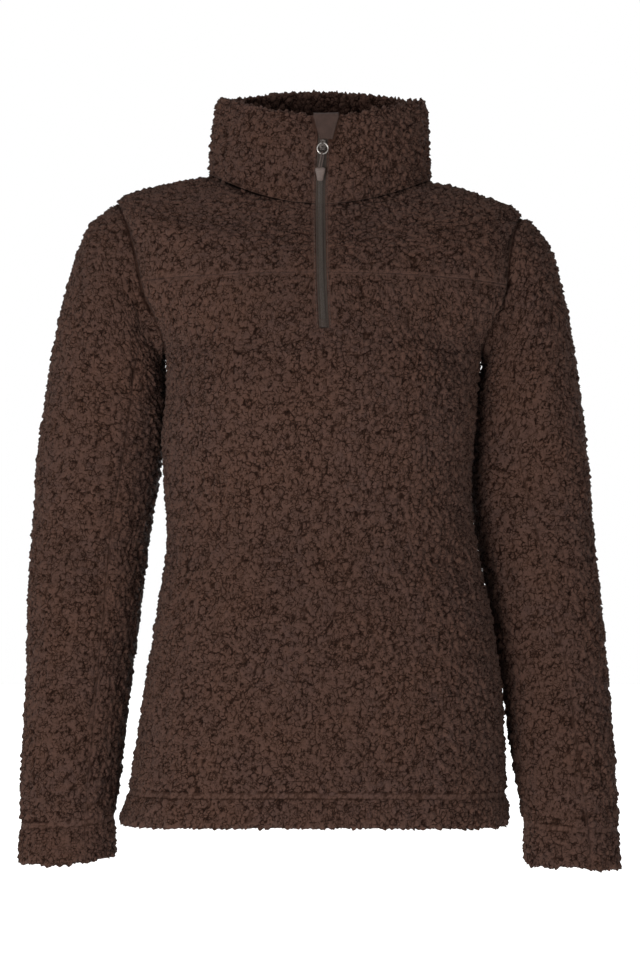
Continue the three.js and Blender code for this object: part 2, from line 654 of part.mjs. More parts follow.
const SLOT_FOOT = rowAt(BODY, SLOT_AT).zFront + SEAM_GAP;
const ZIP_TOP = rowAt(COLLAR, 1).zFront;

// Heights along the zip: up to the slider, then on to the top
const COIL_HEIGHTS = Array.from({ length: ZIP.steps + 1 }, (_, k) => (
  mix(SLOT_FOOT, SLIDER.foot - SEAM_GAP, k / ZIP.steps)));
const TOP_HEIGHTS = Array.from({ length: ZIP.topSteps }, (_, k) => (
  mix(SLIDER.foot - SEAM_GAP, ZIP_TOP, (k + 1) / ZIP.topSteps)));

function stripGeometry(from, to, heights, depth, thick) {
  return wallGeometry(1, heights.length - 1, (i, j) => {
    const z = heights[j];
    const across = i === 0 ? from : to;
    return { outer: zipPlace(z, across, depth), inner: zipPlace(z, across, depth + thick) };
  });
}

// The guard covers the zip's top end and folds over the collar's edge to the inside
function guardGeometry() {
  const inner = GUARD.inner / (ZIP_TOP - COLLAR[0].zFront);
  const stations = [
    ...[0, 0.25, 0.5, 0.75, 1].map(share => ({ at: mix(GUARD.foot, 1, share), roll: 0 })),
    ...[30, 60, 90, 120, 150, 180].map(degrees => ({ at: 1, roll: radians(degrees) })),
    ...[0.5, 1].map(share => ({ at: 1 - share * inner, roll: Math.PI })),
  ];
  return wallGeometry(GUARD.columns, stations.length - 1, (i, j) => {
    const station = stations[j];
    const rise = station.roll === 0 ? (station.at - GUARD.foot) / (1 - GUARD.foot) : 1;
    const half = mix(GUARD.footHalf, GUARD.topHalf, rise);
    const ring = rowAt(COLLAR, station.at);
    const across = half * (2 * i / GUARD.columns - 1);
    const angle = angleAtX(ring, GUARD.middle + across);
    const reach = COLLAR_WALL / 2 - GUARD.depth;
    const [outer, under] = [reach, reach - GUARD.thick].map(r => collarPlace(angle, station, r));
    return { outer, inner: under };
  });
}

const wasm = await Module();
wasm.setup();

function solidOf(geometry) {
  const bare = new THREE.BufferGeometry().setAttribute('position', geometry.getAttribute('position'));
  if (geometry.index) bare.setIndex(geometry.index);
  const merged = mergeVertices(bare);
  return new wasm.Manifold(new wasm.Mesh({
    numProp: 3,
    vertProperties: new Float32Array(merged.getAttribute('position').array),
    triVerts: new Uint32Array(merged.index.array),
  }));
}

function geometryOf(solid) {
  const { vertProperties, triVerts } = solid.getMesh();
  const geometry = new THREE.BufferGeometry();
  geometry.setAttribute('position', new THREE.BufferAttribute(vertProperties, 3));
  geometry.setIndex(new THREE.BufferAttribute(triVerts, 1));
  return geometry;
}

const pullY = follow(ZIP_PROFILE, 'y', PULL.axis);
const pullX = zipX(PULL.axis);

// A block that tapers to its foot, with a bail through which the ring hangs
function sliderGeometry() {
  const { foot, head, half, back, face, bevel } = SLIDER;
  const outline = new THREE.Shape([
    [-half * SLIDER.taper, foot], [half * SLIDER.taper, foot], [half, (foot + head) / 2],
    [half * SLIDER.shoulder, head], [-half * SLIDER.shoulder, head], [-half, (foot + head) / 2],
  ].map(([x, z]) => new THREE.Vector2(x, z)));
  const block = new THREE.ExtrudeGeometry(outline, {
    depth: back - face - 2 * bevel, bevelThickness: bevel, bevelSize: bevel, bevelOffset: -bevel,
    bevelSegments: 1,
  });
  block.rotateX(QUARTER).translate(pullX, pullY + back - bevel, 0);
  const { low, high, rise, thick } = BAIL;
  const foot0 = face + BAIL.root;
  const arch = new THREE.Shape([
    [foot0, low], [foot0, high], [face - rise * BAIL.crown, high], [face - rise, high - thick],
    [face - rise, low + thick], [face - rise * BAIL.crown, low],
  ].map(([y, z]) => new THREE.Vector2(y, z)));
  const eye = new THREE.Path([
    [face, low + thick], [face - rise + thick, low + 2 * thick],
    [face - rise + thick, high - 2 * thick], [face, high - thick],
  ].map(([y, z]) => new THREE.Vector2(y, z)));
  arch.holes.push(eye);
  const bail = new THREE.ExtrudeGeometry(arch, { depth: 2 * BAIL.half, bevelEnabled: false });
  bail.applyMatrix4(new THREE.Matrix4().makeBasis(point(0, 1, 0), point(0, 0, 1), point(1, 0, 0)));
  bail.translate(pullX - BAIL.half, pullY, 0);
  return geometryOf(solidOf(block).add(solidOf(bail)));
}

const pullPlane = pullY + PULL.depth;

function ringGeometry() {
  const geometry = new THREE.TorusGeometry(PULL.ring, PULL.wire, 8, 24);
  return geometry.rotateX(QUARTER).translate(pullX, pullPlane, PULL.axis - PULL.ring);
}

// One cord loops through the ring and both ends go down into the tip
function cordGeometry() {
  const low = PULL.axis - 2 * PULL.ring;
  const apart = PULL.wire + PULL.cord + SEAM_GAP;
  const end = low - PULL.drop;
  const tipX = pullX + TIP.lean;
  const bendX = mix(tipX, pullX, CORD_BEND);
  const bendZ = mix(end, low, CORD_BEND);
  const path = new THREE.CatmullRomCurve3([
    point(tipX - PULL.strand / 2, pullPlane, end),
    point(bendX - PULL.strand / 2, pullPlane - apart / 2, bendZ),
    point(pullX - PULL.strand / 2, pullPlane - apart, low - PULL.cord),
    point(pullX - PULL.strand / 4, pullPlane - apart * PULL.lap, low + apart * PULL.lap),
    point(pullX, pullPlane, low + apart),
    point(pullX + PULL.strand / 4, pullPlane + apart * PULL.lap, low + apart * PULL.lap),
    point(pullX + PULL.strand / 2, pullPlane + apart, low - PULL.cord),
    point(bendX + PULL.strand / 2, pullPlane + apart / 2, bendZ),
    point(tipX + PULL.strand / 2, pullPlane, end),
  ]);
  const section = new THREE.Shape().absarc(0, 0, PULL.cord, 0, 2 * Math.PI);
  return new THREE.ExtrudeGeometry(section, { steps: 24, extrudePath: path, curveSegments: 4 });
}

// The moulded tip, wider at the top
function tipGeometry() {
  const { width, foot, height, thick, bevel } = TIP;
  const outline = new THREE.Shape([
    [-width / 2 + bevel, 0], [width / 2 - bevel, 0], [width / 2, -bevel],
    [width / 2 - bevel / 2, -height / 2], [foot / 2, -height + bevel], [foot / 2 - bevel, -height],
    [-foot / 2 + bevel, -height], [-foot / 2, -height + bevel],
    [-width / 2 + bevel / 2, -height / 2], [-width / 2, -bevel],
  ].map(([x, z]) => new THREE.Vector2(x, z)));
  const geometry = new THREE.ExtrudeGeometry(outline, {
    depth: thick - 2 * bevel, bevelThickness: bevel, bevelSize: bevel, bevelOffset: -bevel,
    bevelSegments: 2,
  });
  const top = PULL.axis - 2 * PULL.ring - PULL.drop - SEAM_GAP;
  return geometry.rotateX(QUARTER).translate(pullX + TIP.lean, pullPlane + thick / 2 - bevel, top);
}

function piece(name, geometry, color, roughness, metalness = 0) {
  const material = new THREE.MeshStandardMaterial({ color, roughness, metalness });
  const mesh = new THREE.Mesh(geometry, material);
  mesh.name = name;
  return mesh;
}

const cloth = new THREE.Group().add(
  piece('front_body', frontBodyGeometry(), BROWN, 0.95),
  piece('front_yoke_left', yokeGeometry(LEFT), BROWN, 0.95),
  piece('front_yoke_right', yokeGeometry(RIGHT), BROWN, 0.95),
  piece('back_body', backBodyGeometry(), BROWN, 0.95),
  piece('collar', collarGeometry(), BROWN, 0.95),
  piece('zip_guard', guardGeometry(), BROWN_WOVEN, 0.8),
);
for (const side of [LEFT, RIGHT]) {
  for (const part of ['upper', 'under']) {
    cloth.add(piece(`sleeve_${part}_${sideName(side)}`, sleeveGeometry(side, part), BROWN, 0.95));
  }
}

const tape = side => {
  const ends = [side * ZIP.tapeIn, side * ZIP.tapeOut].sort((a, b) => a - b);
  return stripGeometry(...ends, [...COIL_HEIGHTS, ...TOP_HEIGHTS], ZIP.tapeDepth, ZIP.tapeThick);
};
const coil = stripGeometry(-ZIP.coilHalf, ZIP.coilHalf, COIL_HEIGHTS, ZIP.coilDepth, ZIP.coilThick);
const zip = new THREE.Group().add(
  piece('zip_tape_left', tape(LEFT), GREY_BROWN, 0.8),
  piece('zip_tape_right', tape(RIGHT), GREY_BROWN, 0.8),
  piece('zip_coil', coil, GREY_BROWN, 0.55),
  piece('zip_slider', sliderGeometry(), METAL, 0.35, 0.9),
);

const pull = new THREE.Group().add(
  piece('pull_ring', ringGeometry(), METAL, 0.3, 0.9),
  piece('pull_cord', cordGeometry(), BROWN_WOVEN, 0.8),
  piece('pull_tip', tipGeometry(), TIP_BROWN, 0.5),
);

const pullover = new THREE.Group().add(cloth, zip, pull);

export default pullover;
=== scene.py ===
# The looks of the sherpa fleece pullover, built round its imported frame.
# The script works in millimetres and makes its meshes in metres. The front faces -Y.
# Left and right in the names are the viewer's, as seen from the front.

import math

import bpy
import numpy as np
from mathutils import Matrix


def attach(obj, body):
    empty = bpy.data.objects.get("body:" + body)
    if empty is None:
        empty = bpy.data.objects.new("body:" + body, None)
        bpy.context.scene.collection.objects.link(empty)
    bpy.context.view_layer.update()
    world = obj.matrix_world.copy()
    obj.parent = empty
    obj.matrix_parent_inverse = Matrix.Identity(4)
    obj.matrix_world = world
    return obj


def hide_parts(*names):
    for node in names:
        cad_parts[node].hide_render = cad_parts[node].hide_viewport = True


MM = 0.001

# The garment's driving sizes, the same as its solids have
WALL = 6.0
HEM_WALL = 9.5
COLLAR_WALL = 11.0
SEAM_GAP = 0.3
SEAM_PRESS = 2.0
SEAM_STRIP = 7.0
HEM_BAND = 30.0
CUFF_BAND = 37.0
SIDE_SEAM_SHARE = 0.4
SIDE_SEAM_TOP = 0.6
BAND_GROOVE = 2.6
GROOVE_WIDTH = 4.5
EDGE_ROUND = 5.0
EDGE_OUTER = 3.0
EDGE_INNER = 2.5
NECK_EDGE = 8.0
MITRE_LIMIT = 1.5
ARMHOLE = {"low": 0.64, "high": 0.83, "front": 46.0, "back": 64.0}
SLOT_SHARE = 3 / 12  # turn of the armhole at the zip's lower end
YOKE_SHARE = 6 / 12  # turn of the armhole at the yoke seam
UNDER_SHARE = 4 / 12  # half turn of the armhole that the under sleeve takes
UNDER_SLEEVE_ANGLE = math.radians(122)
SLEEVE_SQUARE = 2.1
ZIP_GAP = 5.0
ZIP_PRESS = 2.7
ZIP_STRIP = 12.0
GUARD_STRIP = 24.0
WIDER_FROM, WIDER_OVER = 0.4, 0.3  # where the collar's pressed strip gets wider for the guard
ZIP_FLAT = 2.0
GUARD_FLAT = 9.5
ZIP = {"tape_in": 0.3, "tape_out": 4.7, "tape_depth": 3.0, "tape_thick": 0.8,
       "coil_half": 2.4, "coil_depth": 1.3, "coil_thick": 1.4}
SLIDER_FOOT = 26.0
GUARD = {"middle": 6.0, "foot": 0.69, "foot_half": 6.3, "top_half": 12.4, "inner": 14.0,
         "depth": 0.7, "thick": 1.2}
PULL = {"axis": 33.0, "depth": -2.9, "ring": 5.2, "wire": 0.6, "cord": 0.7, "strand": 2.2,
        "drop": 13.1, "lap": 0.72, "bend": 0.45}
TIP = {"width": 10.0, "foot": 6.4, "height": 13.0, "thick": 3.6, "lean": -2.4}
TIP_GRIPS = {"places": (0.38, 0.54), "width": 0.035, "depth": 0.1}
TIP_ROUND = 0.55
NUDGE = 1e-3
QUARTER = math.pi / 2
LEFT, RIGHT = -1, 1
SIDE_NAME = {LEFT: "left", RIGHT: "right"}
FRONT, BACK = 1, -1


def table(columns, rows):
    """A short table as one array for each named column."""
    return dict(zip(columns.split(), np.array(rows, float).T))


BODY = table("at zFront zLeft zRight zBack left right front back square", [
    [0.000, -629, -634, -636, -631, 202.0, 190.0, 126, 122, 2.30],  # hem edge
    [0.045, -600, -605, -606, -602, 193.0, 187.0, 126, 121, 2.30],  # hem stitches
    [0.180, -505, -507, -508, -506, 177.0, 183.0, 124, 120, 2.30],  # hip
    [0.270, -435, -435, -435, -435, 165.0, 172.5, 120, 113, 2.30],
    [0.385, -348, -348, -348, -348, 153.5, 156.0, 112,  98, 2.25],  # waist
    [0.452, -298, -298, -298, -298, 156.5, 151.5, 118, 101, 2.25],
    [0.505, -258, -258, -258, -258, 158.5, 154.5, 127, 110, 2.25],
    [0.590, -202, -203, -203, -201, 154.0, 158.5, 138, 120, 2.25],  # bust
    [0.640, -171, -171, -172, -168, 155.0, 161.5, 136, 122, 2.20],  # underarm
    [0.735,  -93, -100, -104,  -93, 190.0, 199.0, 114, 112, 2.20],  # yoke seam
    [0.830,  -60,  -18,  -32,  -45, 204.0, 202.0,  98,  98, 2.10],  # shoulder tip
    [0.915,  -43,    0,   -9,  -10, 160.0, 160.0,  88,  88, 2.05],
    [1.000,  -25,    9,    4,   24, 112.0, 113.0,  81,  75, 2.00],  # neck seam
])
COLLAR = table("at zFront zLeft zRight zBack left right front back square", [
    [0.00, -25,  9,  4, 24, 112, 113, 81, 75, 2],
    [0.35,   5, 36, 33, 50, 111, 111, 82, 74, 2],
    [0.70,  38, 66, 64, 78, 107, 109, 82, 72, 2],
    [1.00,  59, 82, 80, 97, 104, 107, 79, 70, 2],
])
SLEEVE_COLUMNS = "at outX outZ inX inZ middle skew depth seam"
SLEEVE = {
    LEFT: table(SLEEVE_COLUMNS, [
        [0.035, 216.0,  -25, 157.5, -178,  9,  3, 55.5, 120],
        [0.075, 231.0,  -39, 157.5, -186, 10,  5, 57.5, 119],
        [0.125, 241.0,  -59, 156.0, -196, 12,  7, 60.0, 118],
        [0.185, 251.0,  -87, 155.0, -209, 15,  9, 62.0, 117],
        [0.260, 264.0, -136, 154.5, -229, 20,  9, 63.0, 116],
        [0.350, 276.0, -200, 157.0, -262, 28,  8, 62.0, 115],
        [0.450, 287.0, -275, 163.5, -305, 34,  5, 59.0, 114],
        [0.550, 292.0, -345, 171.5, -355, 36,  2, 55.0, 112],
        [0.650, 296.0, -420, 179.5, -420, 32,  0, 51.0, 113],
        [0.760, 297.0, -500, 189.0, -500, 24,  0, 47.0, 113],
        [0.870, 301.0, -585, 198.5, -585, 13,  0, 43.0, 113],
        [0.940, 301.5, -632, 204.0, -634,  6,  0, 39.5, 114],
        [1.000, 303.0, -676, 203.0, -669,  2,  0, 41.0, 115],
    ]),
    RIGHT: table(SLEEVE_COLUMNS, [
        [0.035, 212.0,  -36, 164.5, -179,  9,  4, 55.5, 120],
        [0.075, 224.0,  -50, 163.5, -187, 10,  6, 57.5, 119],
        [0.125, 235.0,  -71, 160.5, -197, 12,  8, 60.0, 117],
        [0.185, 243.0,  -98, 157.8, -210, 15, 10, 62.0, 114],
        [0.260, 253.0, -142, 156.0, -230, 20, 12, 63.0, 111],
        [0.350, 263.0, -205, 153.0, -262, 29, 12, 62.0, 106],
        [0.450, 272.0, -275, 151.5, -305, 36, 11, 59.0,  98],
        [0.550, 278.0, -345, 156.5, -355, 37,  9, 55.0,  90],
        [0.650, 285.0, -420, 169.5, -420, 33,  6, 51.0,  84],
        [0.760, 292.0, -500, 182.0, -500, 26,  3, 47.0,  79],
        [0.870, 298.0, -585, 193.5, -585, 14,  1, 43.0,  76],
        [0.940, 300.0, -634, 201.5, -637,  7,  0, 39.5,  73],
        [1.000, 302.0, -680, 203.0, -675,  3,  0, 41.0,  72],
    ]),
}
ZIP_LINE = table("at x", [[-160, 4.6], [-90, 1.4], [-20, 0.5], [20, 1.8], [70, 5.5]])

# Folds: soft troughs along a line. The first ones are in the solids too, the shallower ones
# after them are only here.
FOLD_COLUMNS = "x0 y0 z0 x1 y1 z1 width depth"
FOLDS = {
    "body": table(FOLD_COLUMNS, [
        [-120, -98, -300, -150, -52, -322, 16, 3.5],  # waist, at each side
        [118, -98, -306, 148, -50, -330, 16, 3.5],
        [-118, 86, -318, -150, 40, -338, 18, 4.0],
        [116, 86, -314, 148, 40, -338, 18, 4.0],
        [-112, -104, -150, -140, -84, -178, 15, 4.0],  # from the armholes to the bust
        [120, -104, -150, 148, -84, -184, 15, 4.5],
        [-128, -88, -250, -152, -50, -282, 12, 1.8],
        [112, -104, -262, 144, -64, -290, 12, 2.0],
        [-96, -108, -352, -144, -60, -372, 14, 1.8],
        [88, -110, -360, 146, -62, -384, 14, 2.0],
        [-60, 98, -340, 40, 98, -352, 15, 1.8],  # small of the back
        [-30, 102, -300, 70, 100, -308, 13, 1.5],
        [-120, 96, -150, -60, 112, -190, 16, 2.0],  # from the armholes over the back
        [120, 96, -156, 66, 112, -196, 16, 2.0],
        [-150, -96, -470, -110, -116, -560, 18, 1.8],  # towards the hem
        [150, -98, -450, 168, -80, -560, 18, 1.8],
    ]),
    "left": table(FOLD_COLUMNS, [
        [-244, -20, -352, -214, -20, -404, 11, 4.5],  # elbow crease
        [-284, 20, -330, -246, -22, -352, 12, 3.5],
        [-190, -25, -190, -215, -28, -262, 13, 4.0],  # under the armhole
        [-187, -44, -98, -168, -34, -148, 10, 5.5],  # beside its front
        [-232, 92, -330, -200, 88, -372, 13, 4.0],  # behind the elbow
        [-262, -22, -430, -222, -18, -470, 10, 2.0],
        [-286, -6, -250, -262, -30, -300, 11, 1.8],
        [-250, -34, -130, -236, -40, -190, 12, 1.8],
        [-157, 44, -160, -156, 46, -222, 13, -5.0],  # fuller behind, towards the body
        [-157, 22, -172, -157, 26, -190, 9, -2.2],
        [-270, 74, -270, -220, 94, -290, 12, 2.0],
        [-280, -20, -560, -250, -28, -600, 10, 1.6],
    ]),
    "right": table(FOLD_COLUMNS, [
        [186, -30, -130, 200, -28, -200, 11, 4.5],  # along the sleeve's inner side
        [193, -44, -100, 175, -34, -150, 10, 5.5],  # beside the armhole's front
        [203, -24, -215, 222, -18, -300, 13, 5.0],
        [268, 20, -330, 236, -18, -366, 12, 3.5],  # elbow crease
        [232, 92, -330, 200, 88, -372, 13, 4.0],  # behind the elbow
        [262, -16, -410, 232, -14, -446, 10, 2.0],
        [258, -28, -180, 242, -36, -240, 11, 2.0],
        [161, 42, -165, 158, 44, -225, 13, -4.0],  # fuller behind, towards the body
        [163, 20, -172, 161, 24, -192, 9, -2.0],
        [270, 74, -262, 222, 94, -284, 12, 2.0],
        [282, -18, -560, 254, -28, -606, 10, 1.6],
    ]),
}

# The pile: curled nubs on the knitted backing
NUB = 5.9  # mean width of a nub
CURL = 3.3  # mean width of the curls that a nub is made of
CURL_SHARE = 0.42  # how much of a nub's height the curls take
NUB_LOW, NUB_SPREAD = 0.74, 0.38  # height of the lowest nub and what the highest has more
NUB_SLOPE = 0.55  # width of a nub's sloping side, as a share of the nub
NUB_WARP = 2.8  # how far the nubs' grid is bent, and over what distance
WARP_SIZE = 9.0
CLUMP = 17.0  # size of the larger uneven patches, and their depth
CLUMP_DEPTH = 1.3
PILE_DEPTH = 4.4  # from the tips of the nubs to the crevices between them
PILE_RISE = 1.7  # how far the tips stand over the mean outline
COLLAR_PILE = 1.15  # how much deeper the collar's pile is
NAP = 1.7  # how far the tips lean down, and the height that stays in place
NAP_FROM = 0.4
TUFT = 2.6  # how far the pile hangs over a lower edge
TUFT_LEAST = 0.55  # the share of that which crevices have
HEM_HANG, CUFF_HANG = 4.0, 7.0  # height over which this fades out
SCALLOP = 11.0  # how uneven the cuffs' edges are, and over what length
SCALLOP_SIZE = 15.0
SCALLOP_MEAN = 0.45
SEEDS = {"bend": 11, "nub": 21, "clump": 41, "scallop": 51, "curl": 61}

# How seams press the pile flat and close over it, and how dark the painted shade in the creases is
FLAT_STRIP = 1.7  # half width of the strip that a seam presses flat
FLAT_RAMP = 2.2  # the way over which the pile stands up beside it
PRESSED_SHARE = 0.1  # what is left of the pile's height in the strip
ZIP_STRIP_FLAT = 0.6  # half width of the flat strip beside the zip and the guard
COVERED = 2.2  # the pile closes this far over a seam without stitches
SIDE_COVERED = 4.0  # the same over the side seams
SLEEVE_COVERED = 0.4 * COVERED  # and over the sleeves' long seams
SEWN_GAP = 0.1  # what the sleeves' long seams leave open
SHADOW, SHADOW_WIDTH = 0.8, 1.3  # painted shade: the dark lines beside a flat strip
CREASE_WIDTH = 2.4  # width of the painted shade in the crease where two pieces meet
NECK_CREASE = 0.35  # how dark that painted shade is at the neck seam
SLEEVE_CREASE = 0.6  # and at the sleeves' long seams
GUARD_SHADOW = 5.0  # width of the painted shadow beside the guard, and how far it goes below it
BELOW_GUARD = 0.03
POCKET_SHADE = 5.0  # how much wider the crease's painted shade is in front of the armhole, low down
POCKET_SHADE_Z = -118.0
POCKET_SHADE_SIZE = 18.0
FAR = 1e3

# Fine meshes: steps and columns in the outer side of each piece
CELL = 4  # fine cells along one cell of the plain inner wall
FRONT_HALF = 140  # columns of half the front, and those under the zip
FRONT_SLOT = 8
FRONT_STEP = 1.74
BACK_COLUMNS = 240
BACK_STEP = 1.93
YOKE_COLUMNS = 112
YOKE_STEP = 1.7
UPPER_COLUMNS = 128
UNDER_COLUMNS = 64
SLEEVE_STEP = 1.78
COLLAR_FRONT = 96  # columns of the collar from the side to the zip, and round the back
COLLAR_BACK = 184
COLLAR_STEP = 1.7
COLLAR_UP, COLLAR_OVER = 92, 17  # lengths up the collar's side and over its edge
HEM_ROW = (0.045, 29)  # the hem stitches' height, and the length below them
HIGH_STOPS = [(0.87, 24), (0.935, 30), (1.0, 28)]  # the same from the shoulder tip to the neck
SIDE_REACH = {FRONT: 428, BACK: 430}  # lengths from the hem stitches to the armhole
FRONT_ARM, HIGH_ARM = 14, 15  # lengths of one stretch along the armhole
SLEEVE_REACH = {"upper": 640, "under": 520}
CUFF_AT, CUFF_REACH = 0.94, 44


def mix(a, b, t):
    return a + (b - a) * t


def soft(t):
    t = np.clip(t, 0, 1)
    return t * t * (3 - 2 * t)


def bell(distance, width):
    """1 at no distance, falling smoothly to 0 on both sides."""
    return np.exp(-((distance / width) ** 2))


def unit(v):
    return v / np.maximum(np.linalg.norm(v, axis=-1, keepdims=True), 1e-12)


def length(v):
    return np.linalg.norm(v, axis=-1)


def hermite(t, span, low, high, low_slope, high_slope):
    rest = 1 - t
    level = low * (1 + 2 * t) * rest * rest + high * t * t * (3 - 2 * t)
    return level + span * (low_slope * t * rest * rest - high_slope * t * t * rest)


def follow(rows, column, at):
    """Monotone cubic through a table's column."""
    x, y = rows["at"], rows[column]
    secant = np.diff(y) / np.diff(x)
    before, after = secant[:-1], secant[1:]
    rising = before * after > 0
    inner = np.where(rising, 2 * before * after / np.where(rising, before + after, 1), 0)
    slope = np.concatenate([secant[:1], inner, secant[-1:]])
    k = np.clip(np.searchsorted(x, at, "left") - 1, 0, len(x) - 2)
    span = x[k + 1] - x[k]
    t = np.clip((at - x[k]) / span, 0, 1)
    return hermite(t, span, y[k], y[k + 1], slope[k], slope[k + 1])


def row_at(rows, at):
    return {name: follow(rows, name, at) for name in rows}


def ring_point(ring, angle):
    """A point of a ring: angle 0 is the front, a quarter turn +X and a half turn the back."""
    sine, cosine = np.sin(angle), np.cos(angle)
    half = np.where(sine >= 0, ring["right"], ring["left"])
    depth = np.where(cosine >= 0, ring["front"], ring["back"])
    total = (abs(sine) / half) ** ring["square"] + (abs(cosine) / depth) ** ring["square"]
    reach = total ** (-1 / ring["square"])
    x = reach * sine
    z_side = np.where(sine >= 0, ring["zRight"], ring["zLeft"])
    z_middle = np.where(cosine >= 0, ring["zFront"], ring["zBack"])
    return np.stack([x, -reach * cosine, mix(z_middle, z_side, (x / half) ** 2)], -1)


def angle_at_x(ring, x):
    half = np.where(x >= 0, ring["right"], ring["left"])
    share = 1 - (abs(x) / half) ** ring["square"]
    return np.arctan2(x, ring["front"] * share ** (1 / ring["square"]))


def fold_depth(folds, p):
    total = np.zeros(p.shape[:-1])
    for row in zip(*folds.values()):
        start, end, width, depth = np.array(row[:3]), np.array(row[3:6]), row[6], row[7]
        line = end - start
        t = np.clip((p - start) @ line / (line @ line), 0, 1)
        total += depth * bell(length(p - start - t[..., None] * line), width)
    return total


def slopes(place, a, b):
    """Two directions along a surface given as place(a, b), and its outward normal."""
    along = unit(place(a + NUDGE, b) - place(a - NUDGE, b))
    up = unit(place(a, np.minimum(b + NUDGE, 1)) - place(a, np.maximum(b - NUDGE, 0)))
    return along, up, unit(np.cross(along, up))


def body_base(angle, at):
    return ring_point(row_at(BODY, at), angle)


def armhole(side, turn):
    """The armhole as angle and height on the body, from the turn: 0 at the shoulder tip, a
    quarter at the front and a half under the arm."""
    at = mix(ARMHOLE["low"], ARMHOLE["high"], (1 + np.cos(turn)) / 2)
    ring = row_at(BODY, at)
    sine = np.sin(turn)
    half = ring["right" if side > 0 else "left"]
    depth = np.where(sine >= 0, ring["front"], ring["back"])
    y = abs(sine) * np.where(sine >= 0, ARMHOLE["front"], ARMHOLE["back"])
    x = half * (1 - (y / depth) ** ring["square"]) ** (1 / ring["square"])
    return side * np.arctan2(x, np.where(sine >= 0, y, -y)), at


def sleeve_base(side, turn, at):
    """A smooth curve through the armhole and every ring of the sleeve at the same turn."""
    rows = SLEEVE[side]
    turn, at = np.broadcast_arrays(turn, at)
    stops = np.concatenate([[0.0], rows["at"]])
    last = len(stops) - 1
    angle, height = armhole(side, turn)
    start = body_base(angle, height)

    def power(value):
        return np.sign(value) * abs(value) ** (2 / SLEEVE_SQUARE)

    out = (1 + power(np.cos(turn))) / 2
    fore = power(np.sin(turn))

    def stop(k):
        row = {name: values[np.maximum(k - 1, 0)] for name, values in rows.items()}
        x = side * mix(row["inX"], row["outX"], out)
        y = row["middle"] + row["skew"] * (1 - out) - row["depth"] * fore
        found = np.stack([x, y, mix(row["inZ"], row["outZ"], out)], -1)
        return np.where((k == 0)[..., None], start, found)

    def slope(k):
        low, high = np.maximum(k - 1, 0), np.minimum(k + 1, last)
        return (stop(high) - stop(low)) / (stops[high] - stops[low])[..., None]

    k = np.clip(np.searchsorted(stops, at, "left") - 1, 0, last - 1)
    span = stops[k + 1] - stops[k]
    t = ((at - stops[k]) / span)[..., None]
    return hermite(t, span[..., None], stop(k), stop(k + 1), slope(k), slope(k + 1))


def sleeve_slopes(side, turn, at):
    along, up, normal = slopes(lambda a, b: sleeve_base(side, a, b), turn, at)
    return along, up, side * normal


def armhole_face(side, turn):
    """The face that the ends of body and sleeve share: a point, its direction inwards and the
    way across it towards the sleeve."""
    angle, at = armhole(side, turn)
    of_body = slopes(body_base, angle, at)[2]
    along, up, of_sleeve = sleeve_slopes(side, turn, np.zeros_like(turn))
    face = (of_body + of_sleeve) / (1 + (of_body * of_sleeve).sum(-1, keepdims=True))
    face *= np.minimum(1, MITRE_LIMIT / length(face))[..., None] * WALL
    across = unit(np.cross(face, along))
    across *= np.where((across * up).sum(-1, keepdims=True) < 0, -1, 1)
    return body_base(angle, at), face, across


def band(distance, height):
    """How far the outer side is pressed in, and the wall, near a turned-up edge."""
    edge = np.maximum(1 - distance / EDGE_ROUND, 0) ** 2
    groove = BAND_GROOVE * bell(distance - height, GROOVE_WIDTH)
    doubled = soft((height - distance) / SEAM_STRIP)
    return groove + EDGE_OUTER * edge, mix(WALL, HEM_WALL, doubled) - EDGE_INNER * edge


def seam_press(distance):
    return SEAM_PRESS * soft(1 - distance / SEAM_STRIP)


def zip_x(z):
    return follow(ZIP_LINE, "x", z)


def zip_angle(rows, at, side):
    ring = row_at(rows, at)
    return angle_at_x(ring, zip_x(ring["zFront"]) + side * ZIP_GAP)


def zip_press(p, strip, flat):
    distance = abs(p[..., 0] - zip_x(p[..., 2]))
    return ZIP_PRESS * soft((strip - distance) / (strip - ZIP_GAP - flat))


def hashed(cells, seed):
    """Numbers from 0 to 1 that look random, one for each cell of whole numbers."""
    c = cells.astype(np.int64).astype(np.uint32)
    n = c[..., 0] * np.uint32(73856093) ^ c[..., 1] * np.uint32(19349663)
    n = n ^ c[..., 2] * np.uint32(83492791) ^ np.uint32(seed * 26544357 % 2**32)
    for shift, factor in ((15, 2246822519), (13, 3266489917)):
        n = (n ^ (n >> np.uint32(shift))) * np.uint32(factor)
    return (n ^ (n >> np.uint32(16))) / 2.0**32


def noise(p, size, seed):
    """Smooth noise from 0 to 1 with patches of a size."""
    q = p / size
    cell = np.floor(q)
    t = soft(q - cell)
    total = 0
    for corner in np.ndindex(2, 2, 2):
        weight = np.prod(np.where(corner, t, 1 - t), axis=-1)
        total = total + weight * hashed(cell + corner, seed)
    return total


def nubs(p, size, seed):
    """Distances to the nearest and the next nub, and a number for the nearest."""
    q = p / size
    cell = np.floor(q)
    first = np.full(q.shape[:-1], 9.0)
    second = first.copy()
    number = first.copy()
    for step in np.ndindex(3, 3, 3):
        here = cell + np.array(step) - 1
        centre = here + np.stack([hashed(here, seed + k) for k in range(3)], -1)
        distance = length(q - centre)
        nearer = distance < first
        second = np.where(nearer, first, np.minimum(second, distance))
        number = np.where(nearer, hashed(here, seed + 3), number)
        first = np.where(nearer, distance, first)
    return first, second, number


LEAN = np.array([[1, 0, 0.25], [0, 1, 0.15], [-0.3, 0.1, 0.8]])  # nubs longer than wide


def dome(nearest, next_one):
    """The rounded height of a nub, from 0 at its border with the next."""
    return 1 - (1 - np.clip((next_one - nearest) / NUB_SLOPE, 0, 1)) ** 2


def standing(distance):
    """The share of the pile that stands at a distance from a seam's middle."""
    return mix(PRESSED_SHARE, 1, soft((distance - FLAT_STRIP) / FLAT_RAMP))


